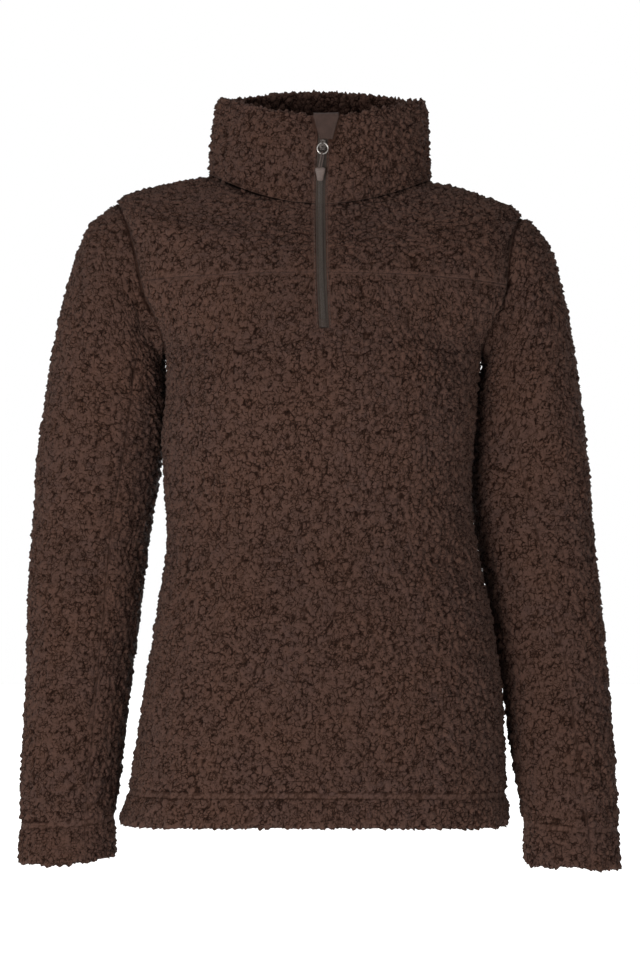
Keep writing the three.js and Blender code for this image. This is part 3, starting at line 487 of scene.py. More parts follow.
def beside_strip(distance):
    """Painted shade: thin dark lines where the pile ends beside a pressed strip."""
    return SHADOW * bell(distance - FLAT_STRIP - SHADOW_WIDTH, SHADOW_WIDTH)


def pile(points, normal, down, share, hang=0, crease=0, scale=1):
    """The outer side with its pile. The share says how much of it stands, hang how far it goes
    over an edge, crease how much painted shade it gets and scale how deep it is. Returns the
    points, and their height, lowered there to carry that painted shade, and share."""
    shape = points.shape[:-1]
    p = points.reshape(-1, 3) @ LEAN
    bend = np.stack([noise(p, WARP_SIZE, SEEDS["bend"] + k) for k in range(3)], -1) - 0.5
    nearest, next_one, number = nubs(p + 2 * NUB_WARP * bend, NUB, SEEDS["nub"])
    curls = dome(*nubs(p + NUB_WARP * bend, CURL, SEEDS["curl"])[:2])
    clump = noise(p, CLUMP, SEEDS["clump"]).reshape(shape)
    height = dome(nearest, next_one) * (NUB_LOW + NUB_SPREAD * number)
    height = (height * (1 - CURL_SHARE * (1 - curls))).reshape(shape)
    rise = PILE_RISE - PILE_DEPTH * (1 - height) - CLUMP_DEPTH * clump
    share = np.broadcast_to(share, shape)
    moved = points + normal * (scale * share * rise)[..., None]
    drop = NAP * share * (height - NAP_FROM) + hang * mix(TUFT_LEAST, 1, height)
    moved = moved + down * drop[..., None]
    # the height mark is lowered by the crease: painted shade
    return moved, np.stack([np.clip(height, 0, 1) * (1 - crease), share * (1 + 0 * height)], -1)


# Meshes
# the first mark: the nubs' height, lowered by the creases' painted shade; the material paints
# crevice shade from it
MARKS = ("pile_height_shade", "pile_share")


def linked(name, data):
    """A new object of the scene."""
    made = bpy.data.objects.new(name, data)
    bpy.context.scene.collection.objects.link(made)
    return made


def mesh_object(name, points, faces, materials, face_slots=None, marks=None):
    """A smooth mesh from points in millimetres and lists of faces, each an array of one kind."""
    mesh = bpy.data.meshes.new(name)
    faces = [np.asarray(f, np.int32) for f in faces if len(f)]
    loops = np.concatenate([f.ravel() for f in faces])
    sizes = np.concatenate([np.full(len(f), f.shape[1], np.int32) for f in faces])
    starts = np.concatenate([[0], np.cumsum(sizes)[:-1]]).astype(np.int32)
    mesh.vertices.add(len(points))
    mesh.vertices.foreach_set("co", (np.asarray(points) * MM).astype(np.float32).ravel())
    mesh.loops.add(len(loops))
    mesh.loops.foreach_set("vertex_index", loops)
    mesh.polygons.add(len(sizes))
    mesh.polygons.foreach_set("loop_start", starts)
    for material in materials:
        mesh.materials.append(material)
    if face_slots is not None:
        mesh.polygons.foreach_set("material_index", np.asarray(face_slots, np.int32))
    mesh.update(calc_edges=True)
    for column, title in enumerate(MARKS if marks is not None else ()):
        attribute = mesh.attributes.new(title, "FLOAT", "POINT")
        attribute.data.foreach_set("value", np.ascontiguousarray(marks[:, column], np.float32))
    mesh.shade_smooth()
    mesh.validate()
    return linked(name, mesh)


def used_only(points, marks, faces):
    used = np.unique(np.concatenate([f.ravel() for f in faces]))
    place = np.zeros(len(points), np.int64)
    place[used] = np.arange(len(used))
    return points[used], marks[used], [place[f] for f in faces]


def grid_quads(index):
    """The quads of a grid of point numbers, a row of them for each row of cells."""
    return np.stack([index[:-1, :-1], index[:-1, 1:], index[1:, 1:], index[1:, :-1]], -1)


def wall(name, outer, inner, marks, materials, kept=None, flip=False):
    """A closed wall: a fine outer side and an inner side with one cell for CELL fine ones."""
    rows, columns = (np.array(outer.shape[:2]) - 1) // CELL
    kept = np.ones((rows, columns), bool) if kept is None else kept
    fine = np.arange(outer.shape[0] * outer.shape[1]).reshape(outer.shape[:2])
    coarse = fine.size + np.arange((rows + 1) * (columns + 1)).reshape(rows + 1, columns + 1)
    faces = [grid_quads(fine)[kept.repeat(CELL, 0).repeat(CELL, 1)],
             grid_quads(coarse)[kept][:, ::-1]]
    around = np.pad(kept, 1)
    steps = np.arange(CELL + 1)
    rims = []
    for side, (dr, dc) in enumerate(((-1, 0), (0, 1), (1, 0), (0, -1))):
        beyond = around[1 + dr:1 + dr + rows, 1 + dc:1 + dc + columns]
        r, c = np.nonzero(kept & ~beyond)
        low_r, low_c = (r * CELL)[:, None], (c * CELL)[:, None]
        border, first, second = (
            (fine[low_r, low_c + steps], coarse[r, c], coarse[r, c + 1]),
            (fine[low_r + steps, low_c + CELL], coarse[r, c + 1], coarse[r + 1, c + 1]),
            (fine[low_r + CELL, low_c + CELL - steps], coarse[r + 1, c + 1], coarse[r + 1, c]),
            (fine[low_r + CELL - steps, low_c], coarse[r + 1, c], coarse[r, c]),
        )[side]
        for k in range(CELL):
            corner = first if k < CELL // 2 else second
            rims.append(np.stack([border[:, k], corner, border[:, k + 1]], -1))
        rims.append(np.stack([border[:, CELL // 2], first, second], -1))
    faces.append(np.concatenate(rims))
    if flip:
        faces = [f[:, ::-1] for f in faces]
    points = np.concatenate([outer.reshape(-1, 3), inner.reshape(-1, 3)])
    marks = np.concatenate([marks.reshape(-1, 2), np.full((inner.size // 3, 2), 0.7)])
    slots = np.concatenate([np.full(len(f), int(k == 1)) for k, f in enumerate(faces)])
    points, marks, faces = used_only(points, marks, faces)
    return mesh_object(name, points, faces, materials, slots, marks)


def stations(stops, size):
    """Fine steps through the stops, a multiple of CELL between two, from the lengths between."""
    made = [stops[0][0]]
    for (low, _), (high, reach) in zip(stops[:-1], stops[1:]):
        count = CELL * max(1, round(reach / size / CELL))
        made.extend(mix(low, high, np.arange(1, count + 1) / count))
    return np.array(made)


def arm_height(share):
    """A height on the body from a share of the armhole's half turn, from below."""
    return mix(ARMHOLE["low"], ARMHOLE["high"], (1 - np.cos(np.pi * share)) / 2)


def arm_stops(first, last, count, reach):
    """Heights along the armhole, with the length between them."""
    return [(arm_height(share), reach) for share in np.linspace(first, last, count + 1)[1:]]


def side_edge(side, face, at):
    """A body panel's side edge: its angle, its turn on the armhole, and where it is one."""
    share = np.clip((at - ARMHOLE["low"]) / (ARMHOLE["high"] - ARMHOLE["low"]), 0, 1)
    turn = face * np.arccos(2 * share - 1)
    on_arm = (at >= ARMHOLE["low"]) & (at <= ARMHOLE["high"])
    return np.where(on_arm, armhole(side, turn)[0], side * QUARTER * (2 - face)), turn, on_arm


def body_panel(name, levels, angles, edges, materials, low_gap=0, high_gap=0, kept=None):
    """A panel of the body. The angles are given at each level and column, and edges says which
    side edge the first and the last column follow."""
    at = np.broadcast_to(levels[:, None], angles.shape)
    base = body_base(angles, at)
    along, up, normal = slopes(body_base, angles, at)
    flat = base
    base = base - normal * fold_depth(FOLDS["body"], base)[..., None]
    above = base[..., 2] - body_base(angles, np.zeros_like(at))[..., 2]
    hem_press, wall_here = band(above, HEM_BAND)
    sides = [(column, edge) for column, edge in zip((0, -1), edges) if edge]
    side_seam = np.full(at.shape, FAR)
    for column, _ in sides:
        side_seam = np.minimum(side_seam, length(flat - flat[:, [column]]))
    at_neck = length(flat - flat[-1]) if levels[-1] == 1 else FAR
    at_yoke = FAR
    if low_gap:
        at_yoke = length(flat - flat[0])
    elif high_gap and levels[-1] < 1:
        at_yoke = length(flat - flat[-1])
    low_side = soft((at - SIDE_SEAM_TOP) / (ARMHOLE["low"] - SIDE_SEAM_TOP))
    sewn = mix(SIDE_SEAM_SHARE, 1, low_side)
    press = np.maximum.reduce([hem_press, sewn * seam_press(side_seam),
                               seam_press(np.minimum(at_yoke, at_neck) + 0 * at)])
    slot_at = arm_height(SLOT_SHARE)
    near_zip = (flat[..., 1] < 0) & (at >= slot_at - 1e-9)
    beside = np.where(near_zip, zip_press(flat, ZIP_STRIP, ZIP_FLAT), 0)
    press = np.maximum(press, beside)
    inward = normal * wall_here[..., None]
    pressed = normal.copy()
    for column, edge in sides:
        _, turn, on_arm = side_edge(*edge, levels)
        shift = np.where(on_arm, 0, SEAM_GAP / 2 if column == 0 else -SEAM_GAP / 2)
        meeting, face, across = armhole_face(edge[0], turn)
        here = on_arm[:, None]
        base[:, column] = np.where(here, meeting - across * SEAM_GAP / 2, base[:, column])
        inward[:, column] = np.where(here, face, inward[:, column])
        pressed[:, column] = np.where(here, unit(face), pressed[:, column])
        base[:, column] += along[:, column] * shift[:, None]
    if levels[-1] == 1:
        level = unit(normal[-1] * [1, 1, 0])
        pressed[-1] = level
        inward[-1] = level * NECK_EDGE
    base[0] += up[0] * low_gap
    base[-1] -= up[-1] * high_gap
    covered = np.minimum(standing(side_seam + mix(SIDE_COVERED, COVERED, low_side)),
                         standing(at_neck + 2 * COVERED))
    share = np.minimum(standing(np.minimum(at_yoke, abs(above - HEM_BAND))), covered)
    to_zip = np.where(near_zip, abs(flat[..., 0] - zip_x(flat[..., 2])) - ZIP_GAP, FAR)
    share = np.minimum(share, standing(to_zip - ZIP_STRIP_FLAT))
    # painted shade in the creases of the side and neck seams, and in thin lines beside the hem's
    # strip
    crease = np.maximum(sewn * bell(side_seam, CREASE_WIDTH),
                        NECK_CREASE * bell(at_neck, CREASE_WIDTH))
    crease = np.maximum(crease, beside_strip(abs(above - HEM_BAND)))
    hang = TUFT * np.exp(-np.maximum(above, 0) / HEM_HANG)
    outer, marks = pile(base - pressed * press[..., None], normal, -up, share, hang, crease)
    inner = (base - inward)[::CELL, ::CELL]
    return wall(name, outer, inner, marks, materials, kept)


def half_front(side, levels, count):
    """Angles from a side edge to the edge beside the zip."""
    edge = side_edge(side, FRONT, levels)[0]
    at_zip = zip_angle(BODY, levels, side)
    return mix(edge[:, None], at_zip[:, None], np.linspace(0, 1, count + 1)[None])


def front_body(materials):
    stops = [(0, 0), HEM_ROW, (ARMHOLE["low"], SIDE_REACH[FRONT])]
    levels = stations(stops + arm_stops(0, YOKE_SHARE, 6, FRONT_ARM), FRONT_STEP)
    left = half_front(LEFT, levels, FRONT_HALF)
    right = half_front(RIGHT, levels, FRONT_HALF)[:, ::-1]
    middle = mix(left[:, -1:], right[:, :1], np.arange(1, FRONT_SLOT)[None] / FRONT_SLOT)
    angles = np.concatenate([left, middle, right], 1)
    rows, columns = (len(levels) - 1) // CELL, (angles.shape[1] - 1) // CELL
    kept = np.ones((rows, columns), bool)
    above = levels[:-1:CELL] > arm_height(SLOT_SHARE) - 1e-6
    first = FRONT_HALF // CELL
    kept[above, first:first + FRONT_SLOT // CELL] = False
    edges = ((LEFT, FRONT), (RIGHT, FRONT))
    return body_panel("front_pile", levels, angles, edges, materials,
                      high_gap=SEAM_GAP / 2, kept=kept)


def yoke(side, materials):
    stops = [(arm_height(YOKE_SHARE), 0)] + arm_stops(YOKE_SHARE, 1, 6, HIGH_ARM)
    levels = stations(stops + HIGH_STOPS, YOKE_STEP)
    angles = half_front(side, levels, YOKE_COLUMNS)
    edges = ((side, FRONT), None)
    if side == RIGHT:
        angles, edges = angles[:, ::-1], (None, (side, FRONT))
    name = "yoke_pile_" + SIDE_NAME[side]
    gap = SEAM_GAP / 2
    return body_panel(name, levels, angles, edges, materials, low_gap=gap, high_gap=gap)


def back_body(materials):
    stops = [(0, 0), HEM_ROW, (ARMHOLE["low"], SIDE_REACH[BACK])]
    levels = stations(stops + arm_stops(0, 1, 12, HIGH_ARM) + HIGH_STOPS, BACK_STEP)
    ends = []
    for side in (RIGHT, LEFT):
        edge, _, on_arm = side_edge(side, BACK, levels)
        ends.append(np.mod(np.where(on_arm, edge, side * QUARTER), 2 * np.pi))
    shares = np.linspace(0, 1, BACK_COLUMNS + 1)[None]
    angles = mix(ends[0][:, None], ends[1][:, None], shares)
    edges = ((RIGHT, BACK), (LEFT, BACK))
    return body_panel("back_pile", levels, angles, edges, materials, high_gap=SEAM_GAP / 2)


def sleeve_seams(side, at):
    rows = SLEEVE[side]
    start = np.pi * (1 - UNDER_SHARE)
    share = np.minimum(at / rows["at"][0], 1)
    front = mix(start, np.radians(follow(rows, "seam", at)), share)
    return front, front + mix(2 * (np.pi - start), UNDER_SLEEVE_ANGLE, share)


def sleeve(side, part, materials):
    under = part == "under"
    stops = [(0, 0), (CUFF_AT, SLEEVE_REACH[part] * CUFF_AT), (1, CUFF_REACH)]
    levels = stations(stops, SLEEVE_STEP)
    front, back = sleeve_seams(side, levels)
    start, end = (front, back) if under else (back - 2 * np.pi, front)
    count = UNDER_COLUMNS if under else UPPER_COLUMNS
    turn = mix(start[:, None], end[:, None], np.linspace(0, 1, count + 1)[None])
    at = np.broadcast_to(levels[:, None], turn.shape)
    flat = sleeve_base(side, turn, at)
    along, up, normal = sleeve_slopes(side, turn, at)
    to_edge = length(flat - sleeve_base(side, turn, np.ones_like(at)))
    edge_press, wall_here = band(to_edge, CUFF_BAND)
    seam = np.minimum(length(flat - flat[:, :1]), length(flat - flat[:, -1:]))
    at_arm = length(flat - flat[:1])
    press = np.maximum(edge_press, seam_press(np.minimum(seam, at_arm)))
    base = flat - normal * fold_depth(FOLDS[SIDE_NAME[side]], flat)[..., None]
    inward = normal * wall_here[..., None]
    pressed = normal.copy()
    meeting, face, across = armhole_face(side, turn[0])
    base[0] = meeting + across * SEAM_GAP / 2
    inward[0] = face
    pressed[0] = unit(face)
    base[:, 0] += along[:, 0] * SEWN_GAP / 2
    base[:, -1] -= along[:, -1] * SEWN_GAP / 2
    share = np.minimum(standing(np.minimum(seam + SLEEVE_COVERED, abs(to_edge - CUFF_BAND))),
                       standing(at_arm + COVERED))
    # painted shade: in the armhole's crease, wider low at its front, at the long seams and beside
    # the cuff's strip
    pocket_shade = POCKET_SHADE * bell(flat[..., 2] - POCKET_SHADE_Z, POCKET_SHADE_SIZE)
    pocket_shade = CREASE_WIDTH + np.where(flat[..., 1] < 0, pocket_shade, 0)
    crease = np.maximum(bell(at_arm, pocket_shade), SLEEVE_CREASE * bell(seam, CREASE_WIDTH))
    crease = np.maximum(crease, beside_strip(abs(to_edge - CUFF_BAND)))
    uneven = SCALLOP * (noise(flat, SCALLOP_SIZE, SEEDS["scallop"]) - SCALLOP_MEAN)
    hang = (TUFT + uneven) * np.exp(-to_edge / CUFF_HANG)
    outer, marks = pile(base - pressed * press[..., None], normal, up, share, hang, crease)
    inner = (base - inward)[::CELL, ::CELL]
    name = f"sleeve_{part}_pile_{SIDE_NAME[side]}"
    return wall(name, outer, inner, marks, materials, flip=side == LEFT)


def collar_place(angle, at, roll, reach):
    """A place in the collar at a reach from the middle of its wall, and the way out there."""
    base = ring_point(row_at(COLLAR, at), angle)
    normal = slopes(lambda a, b: ring_point(row_at(COLLAR, b), a), angle, at)[2]
    outward = unit(normal * [1, 1, 0])
    across = reach * np.cos(roll) - COLLAR_WALL / 2
    placed = base + outward * across[..., None]
    level = np.array([0, 0, 1])
    placed = placed + (reach * np.sin(roll))[..., None] * level
    return placed, outward * np.cos(roll)[..., None] + np.sin(roll)[..., None] * level


def collar(materials):
    """The collar: up its outer side, over the rolled edge and down its inner side."""
    ups = np.linspace(0, 1, round(COLLAR_UP / COLLAR_STEP) + 1)
    rolls = np.linspace(0, np.pi, round(COLLAR_OVER / COLLAR_STEP) + 1)[1:-1]
    at = np.concatenate([ups, np.ones(len(rolls)), ups[::-1]])
    roll = np.concatenate([np.zeros(len(ups)), rolls, np.full(len(ups), np.pi)])
    right = mix(zip_angle(COLLAR, at, RIGHT)[:, None], QUARTER,
                np.linspace(0, 1, COLLAR_FRONT + 1)[None])
    left_end = 2 * np.pi + zip_angle(COLLAR, at, LEFT)
    left = mix(np.full(len(at), 3 * QUARTER)[:, None], left_end[:, None],
               np.linspace(0, 1, COLLAR_FRONT + 1)[None])
    back = mix(QUARTER, 3 * QUARTER, np.arange(1, COLLAR_BACK) / COLLAR_BACK)
    back = np.broadcast_to(back[None], (len(at), COLLAR_BACK - 1))
    angle = np.concatenate([right, back, left], 1)
    at = np.broadcast_to(at[:, None], angle.shape)
    roll = np.broadcast_to(roll[:, None], angle.shape)
    reach = np.full(angle.shape, COLLAR_WALL / 2)
    flat, _ = collar_place(angle, at, np.zeros_like(roll), reach)
    high = soft((at - WIDER_FROM) / WIDER_OVER)
    strip, level = mix(ZIP_STRIP, GUARD_STRIP, high), mix(ZIP_FLAT, GUARD_FLAT, high)
    beside = np.where(flat[..., 1] < 0, zip_press(flat, strip, level), 0)
    to_seam = length(flat - flat[:1])
    outside = roll < QUARTER
    press = np.maximum(beside, np.where(outside, seam_press(to_seam), 0))
    placed, way = collar_place(angle, at, roll, COLLAR_WALL / 2 - press)
    placed[[0, -1], :, 2] += SEAM_GAP / 2
    front = np.where(flat[..., 1] < 0, 0, FAR)
    to_zip = abs(flat[..., 0] - zip_x(flat[..., 2])) - ZIP_GAP - ZIP_STRIP_FLAT + front
    guard_share = (at - GUARD["foot"] + BELOW_GUARD) / (1 + BELOW_GUARD - GUARD["foot"])
    guard_half = mix(GUARD["foot_half"], GUARD["top_half"], np.clip(guard_share, 0, 1))
    to_guard = abs(flat[..., 0] - GUARD["middle"]) - guard_half + front
    to_guard = np.where(guard_share > 0, to_guard, FAR)
    share = np.minimum(standing(to_seam + COVERED), standing(np.minimum(to_zip, to_guard)))
    # painted shade in the crease at the neck seam, and painted shadow beside the guard
    crease = np.maximum(NECK_CREASE * bell(to_seam, CREASE_WIDTH), bell(to_guard, GUARD_SHADOW))
    down = np.broadcast_to(np.array([0, 0, -1.0]), placed.shape) * np.cos(roll)[..., None] ** 2
    points, marks = pile(placed, way, down, share, crease=crease, scale=COLLAR_PILE)
    rows, columns = points.shape[:2]
    index = np.arange(rows * columns).reshape(rows, columns)
    foot = grid_quads(index[[-1, 0]])
    half = rows // 2
    ends, caps = [], []
    for column, turned in ((0, 1), (-1, -1)):
        low, high = index[:half, column], index[::-1][:half, column]
        ends.append(np.stack([low[:-1], low[1:], high[1:], high[:-1]], -1)[:, ::turned])
        caps.append([low[-1], index[half, column], high[-1]][::turned])
    quads = [part.reshape(-1, 4) for part in (grid_quads(index), foot, *ends)]
    faces = [np.concatenate(quads), np.array(caps)]
    return mesh_object("collar_pile", points.reshape(-1, 3), faces, materials,
                       marks=marks.reshape(-1, 2))


# The zip
HIGH_ROWS = (0.842, 0.857, 0.877, 0.903, 0.935, 0.967, 1)
COLLAR_ROWS = (0.2, 0.35, 0.5, 0.7, 0.85, 1)
TAPE_RIB = 0.55  # width and height of one rib of the tape
RIB_HEIGHT = 0.16
TAPE_STEP = 2.0
COIL_PITCH = 1.25  # height of one pair of coil teeth
TOOTH_REACH = 2.25  # how far the teeth go from the zip's middle, each way
TOOTH_CROSS = 0.55
TOOTH_RADIUS = 0.42
STITCH = 2.6  # length of a stitch, the space to the next and its thread
STITCH_SPACE = 0.7
STITCH_BESIDE = 1.3  # how far beside the fleece's edge the seam is
STITCH_TOP = 34  # how far below the zip's top it ends
THREAD_SINK = 0.35
THREAD = 0.3
BAR_SIDES = 6
GUARD_ROWS = {"front": 22, "over": 16, "inside": 10, "across": 21}
RING_ROWS, RING_SIDES = 72, 16
CORD_ROWS, CORD_SIDES = 150, 16
STOP_STITCHES = 6  # cross stitches that close the zip's foot
STOP_SPACE = 1.15
STOP_HALF = 4.6


def zip_profile():
    """The front's depth at each height along the zip."""
    arm_rows = arm_height(np.linspace(0, 1, 13))
    on_body = row_at(BODY, np.concatenate([arm_rows, HIGH_ROWS]))
    on_collar = row_at(COLLAR, np.array(COLLAR_ROWS))
    return {"at": np.concatenate([on_body["zFront"], on_collar["zFront"]]),
            "y": -np.concatenate([on_body["front"], on_collar["front"]])}


ZIP_PROFILE = zip_profile()
ZIP_TOP = float(COLLAR["zFront"][-1])
ZIP_FOOT = float(follow(BODY, "zFront", arm_height(SLOT_SHARE))) + SEAM_GAP


def zip_place(z, across, depth):
    """A place on the zip, from its height, its distance from the zip's middle and its depth."""
    z, across, depth = np.broadcast_arrays(*(np.asarray(v, float) for v in (z, across, depth)))
    y = follow(ZIP_PROFILE, "y", z)
    slope = (follow(ZIP_PROFILE, "y", z + 1) - follow(ZIP_PROFILE, "y", z - 1)) / 2
    normal = unit(np.stack([0 * z, 0 * z - 1, slope], -1))
    return np.stack([zip_x(z) + across, y, z], -1) - normal * depth[..., None]


def tube_faces(rings, around):
    """Quads round a tube of rings, and its two end caps."""
    index = np.arange(rings * around).reshape(rings, around)
    beside = np.roll(index, -1, 1)
    quads = np.stack([index[:-1], beside[:-1], beside[1:], index[1:]], -1).reshape(-1, 4)
    return quads, index[:1, ::-1], index[-1:]


def swept(name, rings, materials):
    """A closed piece from rings of points, one after the other."""
    return mesh_object(name, rings.reshape(-1, 3), tube_faces(*rings.shape[:2]), materials)


def bars(starts, ends, radius):
    """Many short rounded bars as points and faces, on a surface that faces the front."""
    shares = np.array([0, 0.1, 0.35, 0.65, 0.9, 1])
    widths = np.array([0.45, 0.9, 1, 1, 0.9, 0.45])
    raised = np.array([-1.2, -0.2, 0.35, 0.35, -0.2, -1.2])
    along = unit(ends - starts)
    outward = np.array([0.0, -1.0, 0.0])
    lift = unit(outward - (along @ outward)[:, None] * along)
    beside = np.cross(along, lift)
    turn = 2 * np.pi * np.arange(BAR_SIDES) / BAR_SIDES
    middle = mix(starts[:, None], ends[:, None], shares[None, :, None])
    middle = middle + lift[:, None] * (raised * radius)[None, :, None]
    wide = (widths * radius)[None, :, None, None]
    ring = beside[:, None, None] * np.cos(turn)[:, None]
    ring = ring + lift[:, None, None] * np.sin(turn)[:, None]
    points = middle[:, :, None] + wide * ring
    per_bar = len(shares) * BAR_SIDES
    faces = [f[None] + per_bar * np.arange(len(starts))[:, None, None]
             for f in tube_faces(len(shares), BAR_SIDES)]
    return points.reshape(-1, 3), [f.reshape(-1, f.shape[-1]) for f in faces]


def joined(parts):
    """Points and faces of several parts as one."""
    points, faces, count = [], [], 0
    for part_points, part_faces in parts:
        points.append(part_points)
        faces.extend(f + count for f in part_faces)
        count += len(part_points)
    return np.concatenate(points), faces


def tape(side, material):
    """A zip tape with lengthwise ribs."""
    count = round((ZIP_TOP - ZIP_FOOT) / TAPE_STEP)
    z = np.linspace(ZIP_FOOT, ZIP_TOP, count + 1)[:, None]
    ribs = round((ZIP["tape_out"] - ZIP["tape_in"]) / TAPE_RIB)
    across = np.linspace(ZIP["tape_in"], ZIP["tape_out"], 4 * ribs + 1)
    rib = RIB_HEIGHT * abs(np.sin(np.pi * np.linspace(0, ribs, 4 * ribs + 1)))
    depth = ZIP["tape_depth"] + RIB_HEIGHT - rib
    back = ZIP["tape_depth"] + ZIP["tape_thick"]
    across = np.concatenate([across, across[[-1, 0]]])
    depth = np.concatenate([depth, [back, back]])
    rings = zip_place(z, side * across, depth)
    return swept("zip_tape_weave_" + SIDE_NAME[side], rings[:, ::-side], [material])


def coil(material):
    """The closed coil: teeth from both sides that reach past each other, on a flat core."""
    count = int((SLIDER_FOOT - SEAM_GAP - ZIP_FOOT) / COIL_PITCH)
    z = ZIP_FOOT + COIL_PITCH * (np.arange(count) + 0.5)
    middle = ZIP["coil_depth"] + TOOTH_RADIUS
    parts = []
    for side in (LEFT, RIGHT):
        height = z + (COIL_PITCH / 4 if side == RIGHT else -COIL_PITCH / 4)
        root = zip_place(height - 0.12, side * TOOTH_REACH, middle)
        head = zip_place(height + 0.12, -side * TOOTH_CROSS, middle)
        parts.append(bars(root, head, TOOTH_RADIUS))
    core_z = np.linspace(ZIP_FOOT, SLIDER_FOOT - SEAM_GAP, 80)[:, None]
    front = ZIP["coil_depth"] + 1.4 * TOOTH_RADIUS
    back = ZIP["coil_depth"] + ZIP["coil_thick"]
    half = ZIP["coil_half"]
    across = np.array([-half, -0.6 * half, 0.6 * half, half, half, -half])
    depth = np.array([front + 0.25, front, front, front + 0.25, back, back])
    rings = zip_place(core_z, across, depth)
    parts.append((rings.reshape(-1, 3), tube_faces(*rings.shape[:2])))
    points, faces = joined(parts)
    return mesh_object("zip_coil_teeth", points, faces, [material])


def guard_rings():
    """The guard from its foot over the collar's edge to the inside, as rings across it."""
    inner = GUARD["inner"] / (ZIP_TOP - COLLAR["zFront"][0])
    front, over, inside, across = GUARD_ROWS.values()
    up = np.linspace(0, 1, front)
    rise = np.concatenate([up, np.ones(over + inside - 2)])
    at = np.concatenate([mix(GUARD["foot"], 1, up), np.ones(over - 1),
                         1 - inner * np.linspace(0, 1, inside)[1:]])
    roll = np.concatenate([0 * up, np.linspace(0, np.pi, over)[1:], np.full(inside - 1, np.pi)])
    half = mix(GUARD["foot_half"], GUARD["top_half"], rise)
    share = np.linspace(-1, 1, across)
    at, roll = at[:, None] + 0 * share, roll[:, None] + 0 * share
    angle = angle_at_x(row_at(COLLAR, at), GUARD["middle"] + half[:, None] * share)
    hem = 0.35 * (abs(share) > 0.84)
    crown = 0.5 * (1 - share ** 2)
    outer = COLLAR_WALL / 2 - GUARD["depth"] + (hem + crown - 0.5) * np.cos(roll) ** 2
    under = COLLAR_WALL / 2 - GUARD["depth"] - GUARD["thick"] + 0 * at
    face = collar_place(angle, at, roll, outer)[0]
    back = collar_place(angle, at, roll, under)[0]
    return np.concatenate([face, back[:, ::-1]], 1)


def stitches(material):
    """Cross stitches over the zip's foot, and a seam beside each tape."""
    z = ZIP_FOOT + 0.8 + STOP_SPACE * np.arange(STOP_STITCHES)
    start = zip_place(z, -STOP_HALF, ZIP["coil_depth"] - 0.2)
    end = zip_place(z + 0.3, STOP_HALF, ZIP["coil_depth"] - 0.2)
    parts = [bars(start, end, THREAD)]
    for side in (LEFT, RIGHT):
        low = np.arange(ZIP_FOOT + 2, ZIP_TOP - STITCH_TOP, STITCH + STITCH_SPACE)
        across = side * (ZIP_GAP + STITCH_BESIDE)
        start, end = (zip_place(z, across, ZIP_PRESS - THREAD_SINK) for z in (low, low + STITCH))
        parts.append(bars(start, end, THREAD))
    points, faces = joined(parts)
    return mesh_object("zip_stitches", points, faces, [material])


# The pull
def pull_middle():
    """The ring's plane and the zip's middle at the pull's axis."""
    return float(zip_x(PULL["axis"])), float(follow(ZIP_PROFILE, "y", PULL["axis"])) + PULL["depth"]


def round_tube(path, radius, around, closed=False):
    """Rings of a round tube along a path that stays near the xz plane."""
    if closed:
        ahead, behind = np.roll(path, -1, 0), np.roll(path, 1, 0)
    else:
        ahead = np.concatenate([path[1:], path[-1:]])
        behind = np.concatenate([path[:1], path[:-1]])
    along = unit(ahead - behind)
    side = unit(np.cross(along, np.array([0, 1.0, 0.02])))
    up = np.cross(side, along)
    turn = 2 * np.pi * np.arange(around) / around
    radius = np.broadcast_to(radius, (len(path), around))[..., None]
    ring = side[:, None] * np.cos(turn)[:, None] + up[:, None] * np.sin(turn)[:, None]
    return path[:, None] + radius * ring


def ring(material):
    x, y = pull_middle()
    turn = 2 * np.pi * np.arange(RING_ROWS) / RING_ROWS
    path = np.stack([x + PULL["ring"] * np.sin(turn), y + 0 * turn,
                     PULL["axis"] - PULL["ring"] + PULL["ring"] * np.cos(turn)], -1)
    rings = round_tube(path, PULL["wire"], RING_SIDES, closed=True)
    index = np.arange(RING_ROWS * RING_SIDES).reshape(RING_ROWS, RING_SIDES)
    ahead, beside = np.roll(index, -1, 0), np.roll(index, -1, 1)
    quads = np.stack([index, beside, np.roll(beside, -1, 0), ahead], -1).reshape(-1, 4)
    return mesh_object("pull_ring_wire", rings.reshape(-1, 3), [quads], [material])


def smooth_path(points, count):
    """A Catmull-Rom curve through the points, even in its parameter."""
    points = np.array(points, float)
    ends = np.concatenate([2 * points[:1] - points[1:2], points, 2 * points[-1:] - points[-2:-1]])
    at = np.linspace(0, len(points) - 1, count)
    k = np.minimum(at.astype(int), len(points) - 2)
    t = (at - k)[:, None]
    a, b, c, d = (ends[k + j] for j in range(4))
    return b + t / 2 * (c - a + t * (2 * a - 5 * b + 4 * c - d + t * (3 * b - a - 3 * c + d)))


def cord(material):
    """The braided cord: down from the tip, through the ring and back."""
    x, y = pull_middle()
    low = PULL["axis"] - 2 * PULL["ring"]
    apart = PULL["wire"] + PULL["cord"] + SEAM_GAP
    end = low - PULL["drop"]
    tip_x = x + TIP["lean"]
    bend_x, bend_z = mix(tip_x, x, PULL["bend"]), mix(end, low, PULL["bend"])
    half, lap = PULL["strand"] / 2, apart * PULL["lap"]
    path = smooth_path([
        (tip_x - half, y, end), (bend_x - half, y - apart / 2, bend_z),
        (x - half, y - apart, low - PULL["cord"]), (x - half / 2, y - lap, low + lap),
        (x, y, low + apart), (x + half / 2, y + lap, low + lap),
        (x + half, y + apart, low - PULL["cord"]), (bend_x + half, y + apart / 2, bend_z),
        (tip_x + half, y, end),
    ], CORD_ROWS)
    turn = 2 * np.pi * np.arange(CORD_SIDES) / CORD_SIDES
    twist = np.arange(CORD_ROWS)[:, None] * 0.55
    over, under = (0.5 + 0.5 * np.cos(4 * turn + way * twist) for way in (1, -1))
    braided = PULL["cord"] * (1 - 0.09 * over * under)
    return swept("pull_cord_braid", round_tube(path, braided, CORD_SIDES), [material])


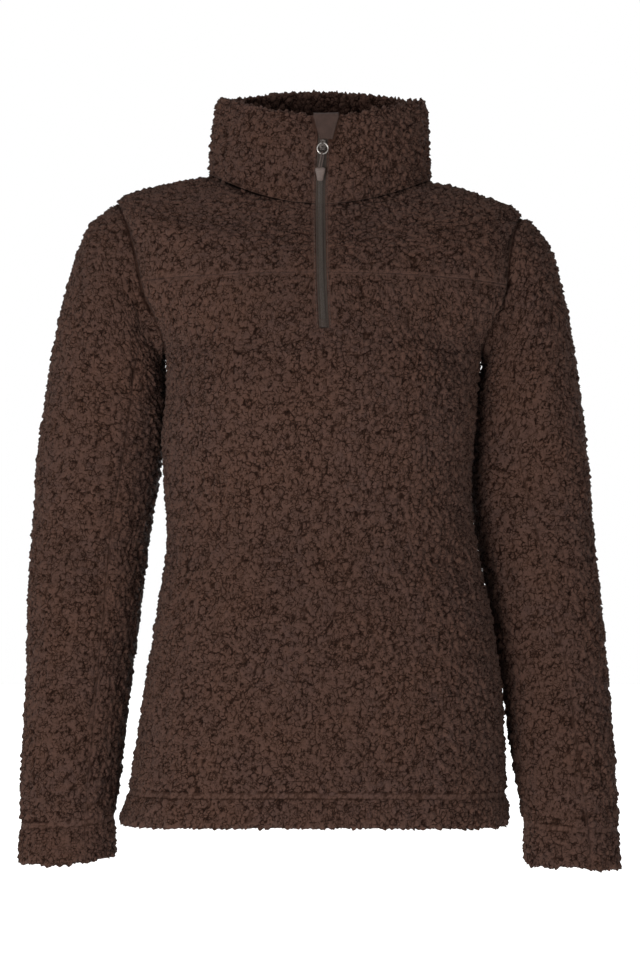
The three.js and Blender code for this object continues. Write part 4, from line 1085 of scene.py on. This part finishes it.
def tip(material):
    """The moulded tip: wide at the top with rounded edges, a waist and two grip lines."""
    x, y = pull_middle()
    top = PULL["axis"] - 2 * PULL["ring"] - PULL["drop"] - SEAM_GAP
    down = np.linspace(0, 1, 44)
    half = mix(TIP["width"] / 2, TIP["foot"] / 2, soft((down - 0.12) / 0.75))
    ends = 1 - 0.3 * np.maximum(1 - down / 0.09, 0) ** 2
    ends = ends - 0.45 * np.maximum((down - 0.84) / 0.16, 0) ** 2
    thick = TIP["thick"] / 2 * ends * mix(1, 0.82, soft((down - 0.2) / 0.6))
    grooves = sum(bell(down - place, TIP_GRIPS["width"]) for place in TIP_GRIPS["places"])
    groove = 1 - TIP_GRIPS["depth"] * grooves
    turn = 2 * np.pi * np.arange(40) / 40
    wide, deep = (np.sign(v) * abs(v) ** TIP_ROUND for v in (np.cos(turn), np.sin(turn)))
    rings = np.stack([
        x + TIP["lean"] + (half * ends)[:, None] * wide,
        y + (thick * groove)[:, None] * deep,
        (top - TIP["height"] * down)[:, None] + 0 * turn,
    ], -1)
    return swept("pull_tip_moulded", rings, [material])


def bevelled(name, solid, material, width):
    """A CAD solid's form again, with its edges rounded."""
    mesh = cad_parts[solid].data.copy()
    mesh.materials.clear()
    mesh.materials.append(material)
    made = linked(name, mesh)
    for kind, settings in (
        ("WELD", {"merge_threshold": 1e-5}),
        ("BEVEL", {"width": width * MM, "segments": 3, "limit_method": "ANGLE"}),
    ):
        modifier = made.modifiers.new(kind.lower(), kind)
        for key, value in settings.items():
            setattr(modifier, key, value)
    return made


# Materials
def nodes_of(name):
    """A new material with its tree, its shader and the place on the object."""
    material = bpy.data.materials.new(name)
    material.use_nodes = True
    tree = material.node_tree
    place = node(tree, "ShaderNodeTexCoord").outputs["Object"]
    return material, tree, tree.nodes["Principled BSDF"], place


def feed(tree, sockets, inputs):
    """Links an output to each socket that is named, or sets a plain value on it."""
    for key, value in inputs.items():
        if isinstance(value, bpy.types.NodeSocket):
            tree.links.new(value, sockets[key])
        else:
            sockets[key].default_value = value


def node(tree, kind, inputs=None, **settings):
    made = tree.nodes.new(kind)
    for key, value in settings.items():
        setattr(made, key, value)
    feed(tree, made.inputs, inputs or {})
    return made


def math_node(tree, operation, a, b=0.0):
    return node(tree, "ShaderNodeMath", {0: a, 1: b}, operation=operation).outputs[0]


def spread_node(tree, value, low, high, to_low=0.0, to_high=1.0):
    return node(tree, "ShaderNodeMapRange",
                {"Value": value, 1: low, 2: high, 3: to_low, 4: to_high},
                interpolation_type="SMOOTHSTEP").outputs[0]


def mix_colour(tree, factor, a, b):
    return node(tree, "ShaderNodeMix", {0: factor, 6: a, 7: b}, data_type="RGBA").outputs[2]


def warped(tree, place, scale, amount):
    bend = node(tree, "ShaderNodeTexNoise", {"Vector": place, "Scale": scale, "Detail": 1.0})
    centred = node(tree, "ShaderNodeVectorMath",
                   {0: bend.outputs["Color"], 1: (0.5, 0.5, 0.5)}, operation="SUBTRACT")
    scaled = node(tree, "ShaderNodeVectorMath",
                  {0: centred.outputs[0], "Scale": amount}, operation="SCALE")
    return node(tree, "ShaderNodeVectorMath",
                {0: place, 1: scaled.outputs[0]}, operation="ADD").outputs[0]


BROWN = (0.0385, 0.0193, 0.0136, 1)
BROWN_WARM = (0.0402, 0.0191, 0.0126, 1)
BROWN_COOL = (0.0352, 0.0188, 0.0146, 1)
# CREVICE: the painted shade in the pile's crevices and creases; the guard's twill also takes it as
# its dark threads
CREVICE = (0.0040, 0.0018, 0.0013, 1)
BACKING = (0.036, 0.0195, 0.0145, 1)
BACKING_DARK = (0.02, 0.012, 0.009, 1)
WOVEN = (0.031, 0.0180, 0.0140, 1)
MOULDED = (0.042, 0.029, 0.024, 1), (0.054, 0.038, 0.032, 1)
NICKEL = (0.17, 0.155, 0.145, 1), (0.33, 0.31, 0.29, 1)
DARK_METAL = (0.045, 0.038, 0.034, 1), (0.09, 0.078, 0.07, 1)
TAPE_THREADS = (0.027, 0.0190, 0.0150, 1), (0.009, 0.0065, 0.005, 1)
COIL_PLASTIC = (0.030, 0.0235, 0.019, 1), (0.011, 0.0085, 0.007, 1)
SEWING_THREAD = (0.040, 0.028, 0.023, 1), (0.014, 0.009, 0.007, 1)
CORD_THREADS = (0.058, 0.042, 0.036, 1), (0.02, 0.014, 0.012, 1)


def cell_nodes(tree, place, scale):
    """A nub's distance from its border and from its middle."""
    border = node(tree, "ShaderNodeTexVoronoi", {"Vector": place, "Scale": scale},
                  feature="DISTANCE_TO_EDGE").outputs["Distance"]
    middle = node(tree, "ShaderNodeTexVoronoi", {"Vector": place, "Scale": scale})
    return border, middle.outputs["Distance"], middle.outputs["Color"]


def uneven_colour(tree, place, scale, dark, light):
    """A colour that changes a little from place to place."""
    worn = noise_node(tree, place, scale)
    return mix_colour(tree, spread_node(tree, worn, 0.35, 0.65), dark, light)


def noise_node(tree, place, scale, detail=2.0, roughness=0.5):
    return node(tree, "ShaderNodeTexNoise", {"Vector": place, "Scale": scale, "Detail": detail,
                                             "Roughness": roughness}).outputs[0]


def wave_node(tree, place, scale, distortion, bands, detail=1.0):
    """Threads side by side. The detail says how finely they are bent."""
    return node(tree, "ShaderNodeTexWave",
                {"Vector": place, "Scale": scale, "Distortion": distortion, "Detail": detail,
                 "Detail Scale": detail}, bands_direction=bands).outputs["Fac"]


def bump_node(tree, height, strength, depth):
    return node(tree, "ShaderNodeBump", {"Strength": strength, "Distance": depth,
                                         "Height": height}).outputs[0]


def mark_node(tree, title):
    return node(tree, "ShaderNodeAttribute", attribute_name=title).outputs["Fac"]


def sherpa():
    """Curled pile: nubs of curls, with painted shade in thin crevices between them, and fine
    fibres.
    """
    material, tree, shader, place = nodes_of("sherpa_pile")
    bent = warped(tree, place, 110.0, 0.0035)
    nub_border, nub_middle, nub_number = cell_nodes(tree, bent, 1000 / NUB)
    curl_border, curl_middle, _ = cell_nodes(tree, bent, 1000 / CURL)
    fibres = noise_node(tree, bent, 700.0, 3.0, 0.6)
    stands = math_node(tree, "MAXIMUM", mark_node(tree, "pile_share"), 0.35)

    # painted shade: darkens the colour near the border of each nub or curl, less where the pile is
    # pressed
    def darkened(border, width, depth):
        shut = math_node(tree, "SUBTRACT", 1.0, spread_node(tree, border, 0.0, width))
        shut = math_node(tree, "MULTIPLY", shut, depth)
        return math_node(tree, "SUBTRACT", 1.0, math_node(tree, "MULTIPLY", shut, stands))

    # how strong the painted crevice shade is from place to place
    open_here = spread_node(tree, noise_node(tree, place, 120.0, 1.0), 0.44, 0.54, 0.0, 0.9)
    open_curls = spread_node(tree, noise_node(tree, place, 170.0, 1.0), 0.45, 0.6, 0.05, 0.75)
    between_nubs = darkened(nub_border, 0.12, open_here)
    between_curls = darkened(curl_border, 0.16, open_curls)
    # painted shade in low places of the pile and in creases, from the height mark; pressed strips
    # get less of it
    deep = spread_node(tree, mark_node(tree, "pile_height_shade"), 0.0, 0.3, 0.16, 1.0)
    pressed = spread_node(tree, stands, 0.35, 0.8, 0.5, 0.0)
    deep = math_node(tree, "MAXIMUM", deep, pressed)
    # lit: the painted shade times the fibres' own change of colour
    lit = math_node(tree, "MULTIPLY", between_nubs, between_curls)
    lit = math_node(tree, "MULTIPLY", lit, deep)
    lit = math_node(tree, "MULTIPLY", lit, spread_node(tree, fibres, 0.3, 0.7, 0.72, 1.1))

    patches = noise_node(tree, place, 16.0)
    tone = mix_colour(tree, spread_node(tree, patches, 0.36, 0.64), BROWN_COOL, BROWN_WARM)
    split = node(tree, "ShaderNodeSeparateColor", {"Color": nub_number}).outputs[0]
    tone = mix_colour(tree, spread_node(tree, split, 0, 1, 0.3, 1.0), tone, BROWN)

    domes = math_node(tree, "MULTIPLY", spread_node(tree, nub_middle, 0.8, 0.2), 0.5)
    curls = math_node(tree, "MULTIPLY", spread_node(tree, curl_middle, 0.8, 0.1), 0.2)
    relief = math_node(tree, "MULTIPLY", math_node(tree, "ADD", domes, curls), stands)
    relief = math_node(tree, "ADD", relief, math_node(tree, "MULTIPLY", fibres, 0.3))
    feed(tree, shader.inputs, {
        # the colour goes to CREVICE where shade is painted, and the shine falls off there too
        "Base Color": mix_colour(tree, lit, CREVICE, tone),
        "Normal": bump_node(tree, relief, 0.85, 0.0021),
        "Roughness": 0.95,
        "Specular IOR Level": spread_node(tree, lit, 0.1, 0.9, 0.01, 0.12),
        "Sheen Weight": 0.035,
        "Sheen Roughness": 0.5,
        "Sheen Tint": (0.4, 0.29, 0.24, 1),
    })
    return material


def backing():
    """The plain knitted side of the cloth: fine wales."""
    material, tree, shader, place = nodes_of("knitted_backing")
    wales = wave_node(tree, place, 260.0, 1.5, "X")
    rows = wave_node(tree, place, 210.0, 1.2, "Z")
    knit = math_node(tree, "MULTIPLY", wales, rows)
    feed(tree, shader.inputs, {
        "Base Color": mix_colour(tree, spread_node(tree, knit, 0.0, 0.7), BACKING_DARK, BACKING),
        "Normal": bump_node(tree, knit, 0.5, 0.0005),
        "Roughness": 0.9,
        "Specular IOR Level": 0.1,
    })
    return material


def woven():
    """Plain smooth cloth: a fine twill."""
    material, tree, shader, place = nodes_of("woven_guard")
    twill = wave_node(tree, warped(tree, place, 500.0, 0.0002), 480.0, 0.4, "DIAGONAL")
    worn = noise_node(tree, place, 130.0, 3.0, 0.6)
    lit = math_node(tree, "MULTIPLY", spread_node(tree, twill, 0, 1, 0.6, 1.0),
                    spread_node(tree, worn, 0.3, 0.7, 0.75, 1.1))
    feed(tree, shader.inputs, {
        "Base Color": mix_colour(tree, lit, CREVICE, WOVEN),
        "Normal": bump_node(tree, twill, 0.4, 0.0002),
        "Roughness": 0.85,
        "Specular IOR Level": 0.12,
        "Sheen Weight": 0.03,
    })
    return material


def threads(name, colour, dark, scale, roughness, strength=0.5):
    """Knitted tape, thread or cord: short slanting threads over a colour."""
    material, tree, shader, place = nodes_of(name)
    slant = wave_node(tree, place, scale, 2.0, "Z", 2.0)
    uneven = noise_node(tree, place, 260.0, 3.0, 0.6)
    lit = math_node(tree, "MULTIPLY", spread_node(tree, slant, 0, 1, 0.55, 1.0),
                    spread_node(tree, uneven, 0.3, 0.7, 0.7, 1.1))
    feed(tree, shader.inputs, {
        "Base Color": mix_colour(tree, lit, dark, colour),
        "Normal": bump_node(tree, slant, strength, 0.00015),
        "Roughness": roughness,
        "Specular IOR Level": 0.15,
    })
    return material


def metal(name, dark, light):
    """A metal that is a little scratched and duller in places."""
    material, tree, shader, place = nodes_of(name)
    scratches = noise_node(tree, place, 1500.0, 4.0, 0.7)
    feed(tree, shader.inputs, {
        "Base Color": uneven_colour(tree, place, 260.0, dark, light),
        "Normal": bump_node(tree, scratches, 0.15, 0.00005),
        "Roughness": spread_node(tree, scratches, 0.3, 0.7, 0.2, 0.42),
        "Metallic": 1.0,
    })
    return material


def moulded():
    """Soft moulded plastic with a fine grain."""
    material, tree, shader, place = nodes_of("moulded_brown")
    grain = noise_node(tree, place, 2400.0, 3.0, 0.6)
    feed(tree, shader.inputs, {
        "Base Color": uneven_colour(tree, place, 300.0, *MOULDED),
        "Normal": bump_node(tree, grain, 0.2, 0.00008),
        "Roughness": spread_node(tree, grain, 0.3, 0.7, 0.42, 0.6),
        "Specular IOR Level": 0.2,
    })
    return material


# The studio, in metres and watts
CAMERA_PLACE = (0, -3.2, -0.295)
LENS, SENSOR = 120, 36
AIM = (0, 0, -0.3)
HORIZON = (0.22, 0.42)  # between these directions the world's light falls from 1
WORLD_ABOVE = 0.38
LIGHTS = (
    ("key", (-1.1, -2.9, -0.65), 1.0, 117),
    ("fill", (0.7, -3.1, -1.2), 1.5, 14),
    ("top", (0.0, -0.3, 2.2), 1.6, 34),
    ("back", (1.2, 2.9, 0.3), 1.2, 85),
)


def camera_and_light():
    camera_data = bpy.data.cameras.new("camera")
    camera_data.sensor_fit = "VERTICAL"
    camera_data.sensor_height = SENSOR
    camera_data.lens = LENS
    camera = linked("camera", camera_data)
    camera.location = CAMERA_PLACE
    camera.rotation_euler = (QUARTER, 0, 0)
    bpy.context.scene.camera = camera
    bpy.context.scene.view_settings.view_transform = "Standard"
    world = bpy.data.worlds.new("studio")
    world.use_nodes = True
    tree = world.node_tree
    upward = node(tree, "ShaderNodeSeparateXYZ",
                  {0: node(tree, "ShaderNodeTexCoord").outputs["Generated"]}).outputs["Z"]
    level = math_node(tree, "ABSOLUTE", upward)
    feed(tree, tree.nodes["Background"].inputs, {
        "Color": (1, 1, 1, 1),
        "Strength": spread_node(tree, level, *HORIZON, 1.0, WORLD_ABOVE),
    })
    bpy.context.scene.world = world
    for name, place, size, power in LIGHTS:
        light = bpy.data.lights.new(name, "AREA")
        light.size = size
        light.energy = power
        lamp = linked(name, light)
        lamp.location = place
        aim = np.array(AIM) - np.array(place)
        away = math.hypot(aim[0], aim[1])
        lamp.rotation_euler = (math.atan2(away, -aim[2]), 0, math.atan2(-aim[0], aim[1]))


def floor():
    material, tree, shader, _ = nodes_of("pale_floor")
    feed(tree, shader.inputs, {
        "Base Color": (0.9, 0.9, 0.9, 1),
        "Roughness": 0.9,
        "Emission Color": (1, 1, 1, 1),
        "Emission Strength": 0.85,
    })
    size, depth = 14000, -1400
    corners = [(x * size, y * size, depth) for x, y in ((-1, -1), (1, -1), (1, 1), (-1, 1))]
    made = mesh_object("floor", np.array(corners, float), [[(0, 1, 2, 3)]], [material])


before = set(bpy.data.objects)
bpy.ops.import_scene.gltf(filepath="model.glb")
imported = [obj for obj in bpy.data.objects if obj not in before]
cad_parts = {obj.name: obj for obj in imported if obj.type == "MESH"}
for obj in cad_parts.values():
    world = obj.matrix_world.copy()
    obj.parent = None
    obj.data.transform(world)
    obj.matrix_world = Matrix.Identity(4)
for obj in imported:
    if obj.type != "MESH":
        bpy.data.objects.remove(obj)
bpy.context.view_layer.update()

camera_and_light()
floor()
cloth = [sherpa(), backing()]
pieces = [
    (front_body(cloth), "front_body", (0.49, 0.56), 0.262),
    (back_body(cloth), "back_body", (0.50, 0.66), 0.285),
    (yoke(LEFT, cloth), "front_yoke_left", (0.20, 0.17), 0.022),
    (yoke(RIGHT, cloth), "front_yoke_right", (0.20, 0.17), 0.022),
    (collar([cloth[0]]), "collar", (0.62, 0.10), 0.06),
]
for side in (LEFT, RIGHT):
    pieces.append((sleeve(side, "upper", cloth), "sleeve_upper_" + SIDE_NAME[side],
                   (0.28, 0.66), 0.125))
    pieces.append((sleeve(side, "under", cloth), "sleeve_under_" + SIDE_NAME[side],
                   (0.15, 0.52), 0.058))
for made, solid, flat, area in pieces:
    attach(made, "garment")
    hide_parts(solid)

tape_threads = threads("zip_tape_threads", *TAPE_THREADS, 700.0, 0.8)
coil_plastic = threads("coil_plastic", *COIL_PLASTIC, 300.0, 0.45, 0.2)
sewing = threads("sewing_thread", *SEWING_THREAD, 900.0, 0.7)
braid = threads("braided_cord", *CORD_THREADS, 900.0, 0.75)
nickel = metal("nickel", *NICKEL)
dark_metal = metal("dark_metal", *DARK_METAL)
for side in (LEFT, RIGHT):
    made = tape(side, tape_threads)
    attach(made, "garment")
    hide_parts("zip_tape_" + SIDE_NAME[side])
guard = swept("zip_guard_cloth", guard_rings(), [woven()])
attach(guard, "garment")
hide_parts("zip_guard")
for made, solid, body, slot in (
    (coil(coil_plastic), "zip_coil", "garment", "zip_coil"),
    (stitches(sewing), None, "garment", "zip_tape"),
    (bevelled("zip_slider_body", "zip_slider", dark_metal, 0.25), "zip_slider", "garment", "metal"),
    (ring(nickel), "pull_ring", "pull", "metal"),
    (cord(braid), "pull_cord", "pull", "cord"),
    (tip(moulded()), "pull_tip", "pull", "moulded"),
):
    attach(made, body)
    if solid:
        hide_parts(solid)
